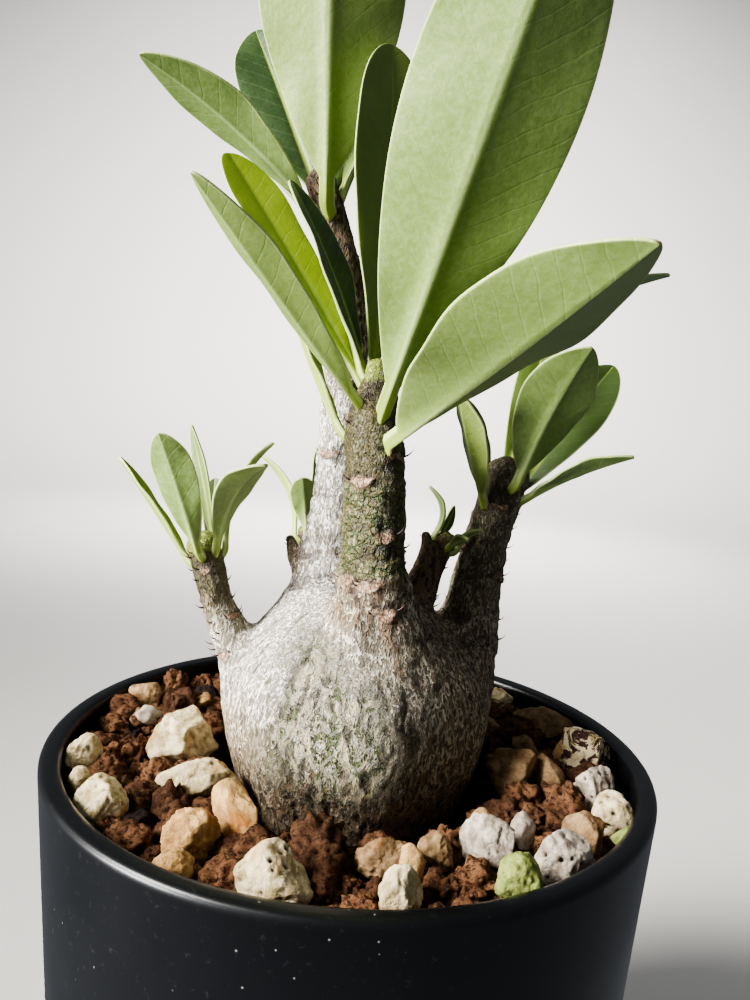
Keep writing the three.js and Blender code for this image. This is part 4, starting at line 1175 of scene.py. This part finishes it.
# %% Where the bristles stand
draw = np.random.default_rng(40)
seats = []
for name, scars in SCARS.items():
    for drop, angle in scars:
        seats += [(name, drop - 0.15, angle, flank, 1.0) for flank in (-1, 1)]
# More of them crowd where leaves stood close together: from how far below the tip, to how far, and how many.
CROWDS = {
    "trunk": (1.5, 22, 44),
    "bud": (0.8, 12, 30),
    "left": (0.5, 16, 26),
    "right": (0.8, 24, 30),
    "front": (3, 16, 14),
    "sprout": (0.4, 6, 10),
}
for name, (first, last, count) in CROWDS.items():
    for drop in np.linspace(first, last, count):
        seats.append((name, drop, draw.uniform(0, math.tau), 0, draw.uniform(0.6, 1.0)))
for name in ("trunk_stub", "bud_stub"):
    seats += [(name, draw.uniform(0, 1.5), angle, 0, 0.7) for angle in np.linspace(0, 6, 7)]
print("bristles:", len(seats))

# %% The bristles themselves
BRISTLE_RADIUS, BRISTLE_LENGTHS = 0.17, (1.2, 2.0)


def bristles(seats, rings=6, sides=5):
    """Tapering tubes: the middle line leaves the stem outwards and bends up with u^2, and its radius falls
    almost to nothing with sqrt(1 - 0.97 u)."""
    u = np.linspace(0, 1, rings)[:, None]
    a = np.linspace(0, math.tau, sides, endpoint=False)
    all_points, all_faces, count = [], [], 0
    for name, drop, angle, flank, size in seats:
        middle, radius, along, across, beside = (v[0] for v in stem_at(name, 1 - drop / LENGTH[name]))
        angle = angle + flank * 0.95 * SCAR_HALF_WIDTH * min(1, radius / 4) / radius
        outward = across * math.cos(angle) + beside * math.sin(angle)
        sideways = np.cross(along, outward)
        length = size * draw.uniform(*BRISTLE_LENGTHS) * (0.6 + 0.4 * min(1, radius / 4))
        sway = draw.uniform(-0.25, 0.25) + 0.25 * flank
        line = middle + outward * (radius - 0.15) + length * (
            outward * (u - 0.25 * u**2) + along * (0.15 * u + 0.55 * u**2) + sideways * sway * u
        )
        thick = BRISTLE_RADIUS * size * np.sqrt(1 - u * 0.97)
        ring = line[:, None] + thick[:, None] * (sideways * np.cos(a)[:, None] + along * np.sin(a)[:, None])
        points, faces = closed_skin(ring)
        all_points.append(points)
        all_faces.append(faces + count)
        count += len(points)
    return np.vstack(all_points), np.vstack(all_faces)


dry = Finish("dry_bristle", Roughness=0.6)
dry.paint(dry.mix(dry.span(dry.noise(900, 2), 0.4, 0.6), "241612", "5a3a2a"))
dry.relief((dry.noise(4000, 2), 0.02))
bristle_points, bristle_faces = bristles(seats)
place("bristles", mesh_of("bristles", bristle_points, bristle_faces), dry.material, "bark")
print("bristle points:", len(bristle_points))

# %% [markdown]
# ## Leaves
#
# A leaf's surface is a function of two numbers: u runs from the stem to the tip, and c runs from one edge to
# the other. The blade is folded up along its midrib, waves a little near its edge, and has a thick rib
# below. The two faces meet in a thin rounded edge, so the leaf is one closed skin. The mesh carries how near
# each point is to the rib and to the edge, and which face it is on, because all three change its colour.

# %% The leaves: stem, drop below its tip, tip, width, bow, roll, fold, bluntness and depth of colour, partly painted shade
LEAVES = {
    "front_1": ("front", 6.5, [13, -54, 174], 19.8, -0.5, -19, 19, 0.2, 0.45),
    "front_2": ("front", 11.5, [22, -50, 144.5], 18.5, -0.5, -8, 24, 0.1, 0.35),
    "front_3": ("front", 2, [-1.8, -4, 180.4], 14, 1.5, 15, 11, 0.8, 0.1),
    "front_4": ("front", 5.6, [-21.8, -30, 153.4], 8.2, -0.2, 3, 22, 0, 0.35),
    "front_5": ("front", 2, [-25, 2.3, 166.4], 10.6, 0.5, -25, 13, 0.9, 0.1),
    "front_6": ("front", 0.5, [-14.6, -5, 161], 8.8, 1, -15, 14, 0.5, 0.95),
    "front_7": ("front", 9.6, [-13.9, -6, 146], 7, -0.5, 0, 18, 0, 0.05),
    "front_8": ("front", 8.5, [44, 7, 155], 12.5, 3, 0, 14, 0, 0.6),
    "trunk_1": ("trunk", 3.6, [-10.8, -14, 203], 22.5, -1.5, -38, 16, 0.2, 0.3),
    "trunk_2": ("trunk", 3.2, [-36.3, -5, 176.3], 9.6, 1.8, 15, 14, 0, 0.55),
    "trunk_3": ("trunk", 2.5, [-26, 24, 194.5], 14, 2.2, -12, 14, 0.2, 0.95),
    "trunk_4": ("trunk", 7, [-21.5, 12, 168], 6, 1, 0, 14, 0, 0.85),
    "trunk_5": ("trunk", 2.5, [7, 27, 194], 12, 2, 0, 14, 0, 0.6),
    "trunk_6": ("trunk", 5.5, [-13.4, 38, 186], 10, 2.5, 0, 14, 0, 0.5),
    "left_1": ("left", 0.7, [-29.8, -9.5, 124.7], 7.4, 0, -8, 14, 0.5, 0.6),
    "left_2": ("left", 2, [-39, 2, 120.3], 5.2, 0.1, 20, 18, 0, 0.1),
    "left_3": ("left", 0.8, [-28.5, 3.5, 126], 3.6, -0.4, -18, 16, 0, 0.4),
    "left_4": ("left", 0.7, [-14.6, -11, 121.5], 7, 2.4, -14, 14, 0.2, 0.55),
    "left_5": ("left", 3, [-25.7, 10, 117.4], 4.8, 0.3, 0, 14, 0.9, 0.9),
    "left_6": ("left", 1.5, [-15.9, 5.6, 124.2], 4.4, 2, -24, 16, 0, 0.7),
    "sprout_1": ("sprout", 0.8, [-20.3, 22, 121.4], 3.6, 2, 0, 16, 0, 0.2),
    "sprout_2": ("sprout", 1, [-11.8, 14, 118.4], 5.6, 0.6, 0, 14, 0.7, 0.6),
    "sprout_3": ("sprout", 0.6, [-9.9, 24, 124.6], 4.6, 0.5, 0, 14, 0, 0.6),
    "right_1": ("right", 0.6, [28.8, -8.5, 141], 12.2, 1.3, 0, 13, 0, 0.55),
    "right_2": ("right", 3.6, [40.6, 19.5, 141.6], 11, 1.5, 22, 14, 0.2, 0.8),
    "right_3": ("right", 4.6, [11.4, -7.5, 133.2], 7.8, -0.3, -12, 17, 0.2, 0.4),
    "right_4": ("right", 2.5, [15.2, 15, 133.6], 5, 0.6, 0, 14, 0.2, 0.85),
    "right_5": ("right", 1.5, [28.4, 16, 148.3], 7, 1.4, 0, 14, 0.2, 0.35),
    "right_6": ("right", 2.8, [37.8, -4, 126.4], 7.2, 0.6, -5, 14, 0, 0.65),
    "bud_1": ("bud", 0.5, [8.8, 0.5, 119.5], 2.4, 1.6, 0, 16, 0, 0.8),
    "bud_2": ("bud", 0.7, [17.3, -1, 113.6], 2.6, 0.7, 0, 14, 0, 0.8),
    "bud_3": ("bud", 0.9, [14.6, -5, 112.6], 2.4, 0.6, 0, 14, 0, 0.7),
    "bud_4": ("bud", 0.3, [13.2, 4.5, 116.5], 2.4, 0.4, 0, 14, 0, 0.8),
}
# How yellow the youngest leaves are.
YELLOW = {
    "front_4": 0.1,
    "front_5": 0.75,
    "front_7": 0.9,
    "trunk_1": 0.12,
    "left_2": 0.7,
    "sprout_1": 0.5,
    "right_3": 0.2,
}
ROOT_TURNS = {"trunk_1": -30}  # degrees round the stem from where the leaf points to where it grows

# %% The shape of a leaf
BLADE_THICKNESS, PETIOLE_SHARE = 0.65, 0.07
ROOT_ROWS = 6  # rows of points that carry the stalk on into the stem


def half_width(u, width, stalk, blunt):
    """A narrow stalk that widens into a blade: sin(pi q^e)^f. With e the blade is widest at 0.56 of its
    length, or further out where it is blunt, and with a smaller f its tip is rounder."""
    q = np.clip((u - PETIOLE_SHARE) / (1 - PETIOLE_SHARE), 0, 1)
    widest, fullness = 0.56 + 0.16 * blunt, 0.7 - 0.25 * blunt
    blade = np.sin(math.pi * q ** (math.log(0.5) / math.log(widest))).clip(0) ** fullness
    return 0.5 * (stalk * (1 - 0.85 * q) + (width - stalk) * blade)


def arc(start, control, end, t):
    """Points of a quadratic curve, and its direction there."""
    at = (1 - t) ** 2 * start + 2 * t * (1 - t) * control + t**2 * end
    return at, (1 - t) * (control - start) + t * (end - control)


def leaf(stem, drop, tip, width, bow, roll, fold, blunt, depth, root_turn=0):
    """Points, faces and marks of one leaf. The middle line is the quadratic curve from the stem to the tip
    that bows by "bow", led on into the stem. Across it, a point lies c half-widths out and rises by
    half * sin(fold) * |c|^0.85."""
    # A wide leaf has more rows of points along it, and more points across each face.
    rows, across = (66, 38) if width > 9 else (38, 26) if width > 4 else (22, 16)
    middle, radius, along, *_ = (v[0] for v in stem_at(stem, 1 - drop / LENGTH[stem]))
    end = np.array(tip, float)
    stalk, stalk_thickness = 0.9 + 0.07 * width, BLADE_THICKNESS + 0.045 * width
    outward = end - middle
    steepness = abs(outward @ along) / np.linalg.norm(outward)
    outward -= along * (outward @ along)
    outward /= np.linalg.norm(outward)
    a = math.radians(root_turn)
    root_way = outward * math.cos(a) + np.cross(along, outward) * math.sin(a)
    base = middle + root_way * (radius + 0.35 + 0.5 * stalk_thickness * steepness)
    chord = (end - base) / np.linalg.norm(end - base)
    side = np.cross(outward, along)
    side -= chord * (side @ chord)
    side /= np.linalg.norm(side)
    a = math.radians(roll)
    side = side * math.cos(a) + np.cross(chord, side) * math.sin(a)
    control = (base + end) / 2 + 2 * bow * np.cross(side, chord)

    u = (1 - np.cos(np.linspace(0, math.pi, rows))) / 2
    spine, tangent = arc(base, control, end, u[:, None])
    first = tangent[0] / np.linalg.norm(tangent[0])
    root = base - root_way * (0.8 + 0.5 * stalk_thickness) - along * (0.5 + stalk_thickness)
    bend = base - first * 0.5 * np.linalg.norm(base - root)
    inner, inner_tangent = arc(root, bend, base, np.linspace(0, 1, ROOT_ROWS, endpoint=False)[:, None])
    spine, tangent = np.vstack([inner, spine]), np.vstack([inner_tangent, tangent])
    u = np.concatenate([np.zeros(ROOT_ROWS), u])[:, None]
    normal = np.cross(side, tangent)
    normal /= np.linalg.norm(normal, axis=1, keepdims=True)
    half = half_width(u, width, stalk, blunt)

    a = np.linspace(0, math.tau, 2 * across, endpoint=False)
    c, over = np.cos(a)[None], np.sin(a)[None]
    x = c * half
    rise = half * math.sin(math.radians(fold)) * ((c**2 + 0.002) ** 0.425 - 0.002**0.425)
    wave = 0.035 * width * c**2 * np.sin(9 * u + c + width) * np.sin(math.pi * u)
    wave += 0.012 * width * c**2 * np.sin(23 * u + 2 * c + 3 * width) * np.sin(math.pi * u)
    thickness = BLADE_THICKNESS * (0.75 + 0.25 * (1 - u)) + (stalk_thickness - BLADE_THICKNESS) * (1 - u) ** 6
    plump = np.abs(over) ** (0.35 + 0.65 * (1 - smooth_step(0.02, 0.2, u)))
    rib_half = 0.42 * stalk * (1 - u) ** 0.7 + 0.1
    rib = np.exp(-((x / rib_half) ** 2))
    keel = 0.62 * (width / 18) * (1 - u) ** 0.8 * rib
    groove = 0.16 * min(1, width / 12) * np.exp(-((x / 0.5) ** 2)) * np.sin(math.pi * u)
    lift = np.where(over > 0, thickness / 2 * plump - groove, -thickness / 2 * plump - keel)
    rings = spine[:, None] + x[..., None] * side * math.cos(math.radians(fold))
    rings = rings + (rise + wave + lift)[..., None] * normal[:, None]

    points, faces = closed_skin(rings)
    full = np.ones_like(c * u)
    marks = {
        "upper": np.where(over >= 0, 1.0, 0.0) * full,
        "rib": rib * full,
        "edge": (1 - np.abs(c)) * half,
        "across": x * full,
        "along": u * full,
        "reach": u * np.linalg.norm(end - base) * full,
        "depth": depth * full,
    }
    marks = {key: np.append(values.ravel(), values[[0, -1], 0]) for key, values in marks.items()}
    return points, faces[:, ::-1], marks


# %% [markdown]
# The upper face is deep green and a little glossy, with a thin pale midrib. The lower face is a dusty
# grey-green with a fine grain, a broad pale rib and a fresher, yellower base. A thin pale line runs round the
# edge, and the very tip is brown.

# %% Leaf finish
blade = Finish("leaf_blade", Roughness=0.42, IOR=1.45)
blade.shader.inputs["Subsurface Weight"].default_value = 0.08
blade.shader.inputs["Subsurface Radius"].default_value = (0.5, 1.0, 0.2)
blade.shader.inputs["Subsurface Scale"].default_value = 0.0006
depth, along, edge, yellow = (blade.carried(mark) for mark in ("depth", "along", "edge", "yellow"))
cloud = blade.noise(110, 4, 0.6)
grain = blade.noise(1300, 5, 0.7)
# Painted light and shade: each leaf's depth is its own tone and also how dark the leaf should look, lit or
# shaded, where it lies.
top = blade.mix(depth, "7f9440", "1e3417")
top = blade.mix(blade.span(cloud, 0.4, 0.65, 0, 0.25), top, "56703a")
below = blade.mix(depth, "869a50", "6a8145")
below = blade.mix(blade.span(grain, 0.42, 0.6, 0, 0.4), below, "93a569")
below = blade.mix(blade.span(cloud, 0.4, 0.7, 0, 0.35), below, "6c8141")
face = blade.mix(blade.carried("upper"), below, top)
face = blade.mix(yellow, face, blade.mix(blade.carried("upper"), "a4b548", "8fa526"))
bent = blade.math("ABSOLUTE", blade.carried("across"))
slant = blade.math("SUBTRACT", blade.carried("reach"), blade.math("MULTIPLY", bent, 0.8))
slant = blade.math("ADD", slant, blade.math("MULTIPLY", cloud, 3.0))
vein = blade.span(blade.math("SINE", blade.math("MULTIPLY", slant, 2.1)), 0.93, 1.0)
face = blade.mix(blade.math("MULTIPLY", vein, 0.035), face, "c3d08f")
rib_line = blade.span(blade.carried("rib"), 0.5, 0.95)
rib_colour = blade.mix(blade.carried("upper"), "a5b676", "94a552")
face = blade.mix(blade.math("MULTIPLY", rib_line, 0.75), face, rib_colour)
fresh = blade.span(along, 0.14, 0.0)
face = blade.mix(blade.math("MULTIPLY", fresh, 0.7), face, "93a336")
face = blade.mix(blade.math("MULTIPLY", blade.span(edge, 0.26, 0.06), 0.75), face, "bcc889")
face = blade.mix(blade.span(along, 0.996, 1.0, 0, 0.6), face, "6e5a38")
blade.paint(face, blade.span(grain, 0.3, 0.7, 0.38, 0.52))
blade.relief((grain, 0.05), (vein, -0.015), (cloud, 0.3))

# %% The leaves in their places
for name, row in LEAVES.items():
    points, faces, marks = leaf(*row, ROOT_TURNS.get(name, 0))
    marks["yellow"] = np.full(len(points), YELLOW.get(name, 0.0))
    mesh = mesh_of("leaf_" + name, points, faces)
    place("leaf_" + name, mesh, blade.material, "leaf", ["leaf_" + name], **marks)
print("leaves:", len(LEAVES))

# %% [markdown]
# ## Floor, light and air
#
# The pot stands on a plain pale floor that curves up far away, so no edge shows behind it. Blender can hide
# an object from single kinds of rays. This floor casts no shadow, isn't mirrored and throws no light back,
# which keeps the undersides of the leaves deep and the pot black.

# %% The floor
# In metres: the radius where the floor starts to curve up, the radius of that curve, and the wall's top.
STAGE_FLAT, STAGE_CURVE, STAGE_TOP = 1.2, 1.3, 4
STAGE_SIDES = 96
bend = np.linspace(0.06, 1, 16) * math.pi / 2
inner_radius, steep = np.linspace(0.02, STAGE_FLAT, 14), np.linspace(1.6, STAGE_TOP, 6)
curve_radius = STAGE_FLAT + STAGE_CURVE * np.sin(bend)
curve_height = STAGE_CURVE - STAGE_CURVE * np.cos(bend)
radius = np.concatenate([inner_radius, curve_radius, np.full(len(steep), STAGE_FLAT + STAGE_CURVE)])[:, None]
height = np.concatenate([0 * inner_radius, curve_height, steep])[:, None]
a = np.linspace(0, math.tau, STAGE_SIDES, endpoint=False)
shell = np.stack(np.broadcast_arrays(radius * np.cos(a), radius * np.sin(a), height), -1)
floor_points = np.vstack([shell.reshape(-1, 3), [0, 0, 0]]) / MM
around = grid_faces(len(radius), STAGE_SIDES, closed=True)
side = np.arange(STAGE_SIDES)
centre = np.stack([np.full(STAGE_SIDES, len(floor_points) - 1), (side + 1) % STAGE_SIDES, side], -1)
triangles = np.vstack([around[:, [0, 2, 1]], around[:, [0, 3, 2]], centre[:, ::-1]])
floor_mesh = mesh_of("floor", floor_points, triangles)
floor_mesh.shade_smooth()
floor = bpy.data.objects.new("floor", floor_mesh)
bpy.context.collection.objects.link(floor)
floor.visible_shadow = False
floor.visible_glossy = False
floor.visible_diffuse = False
pale = Finish("pale_floor", Roughness=0.9)
pale.paint(pale.mix(pale.noise(3, 3), "c9c6c1", "cdcac5"))
floor_mesh.materials.append(pale.material)
print("floor points:", len(floor_points))

# %% [markdown]
# The light comes softly from the left, high up and a little in front, with a second lamp low on the same
# side. Two more light the floor behind the plant and its far curve, and the pale air fills the shadows. The
# lamps are hidden from the camera, so that none shows when the plant is looked at from another side.

# %% Lamps and air


def lamp(name, at, aim, size, power, tint, spread=180):
    """A square area light at a place in metres, turned to face the point "aim", its light kept within the
    angle "spread"."""
    light = bpy.data.lights.new(name, "AREA")
    light.size, light.energy, light.color, light.spread = size, power, tint, math.radians(spread)
    holder = bpy.data.objects.new(name, light)
    back = np.array(at, float) - aim
    back /= np.linalg.norm(back)
    right = np.cross([0, 0, 1.0], back)
    right /= np.linalg.norm(right)
    turn = Matrix(np.stack([right, np.cross(back, right), back], 1).tolist()).to_4x4()
    holder.matrix_world = Matrix.Translation(at) @ turn
    holder.visible_camera = False
    bpy.context.collection.objects.link(holder)


lamp("window", [-0.76, -0.31, 0.64], [0, 0, 0.11], 0.42, 2.1, (1.0, 0.97, 0.93), spread=34)
lamp("low_window", [-0.90, -0.42, 0.16], [0, 0, 0.13], 0.42, 1.9, (0.98, 0.99, 1.0), spread=34)
lamp("backdrop_wash", [0, 1.0, 1.7], [0, 2.1, 0.3], 0.8, 60.0, (1.0, 0.99, 0.98), spread=120)
lamp("floor_wash", [0, 0.85, 1.1], [0, 0.75, 0], 0.5, 4.6, (1.0, 0.99, 0.98), spread=56)

air = bpy.data.worlds.new("air")
air.use_nodes = True
air.node_tree.nodes["Background"].inputs["Color"].default_value = (0.88, 0.93, 1.0, 1)
air.node_tree.nodes["Background"].inputs["Strength"].default_value = 0.22
bpy.context.scene.world = air
bpy.context.scene.view_settings.view_transform = "AgX"
bpy.context.scene.view_settings.look = "AgX - Medium High Contrast"
print("lamps:", len(bpy.data.lights))
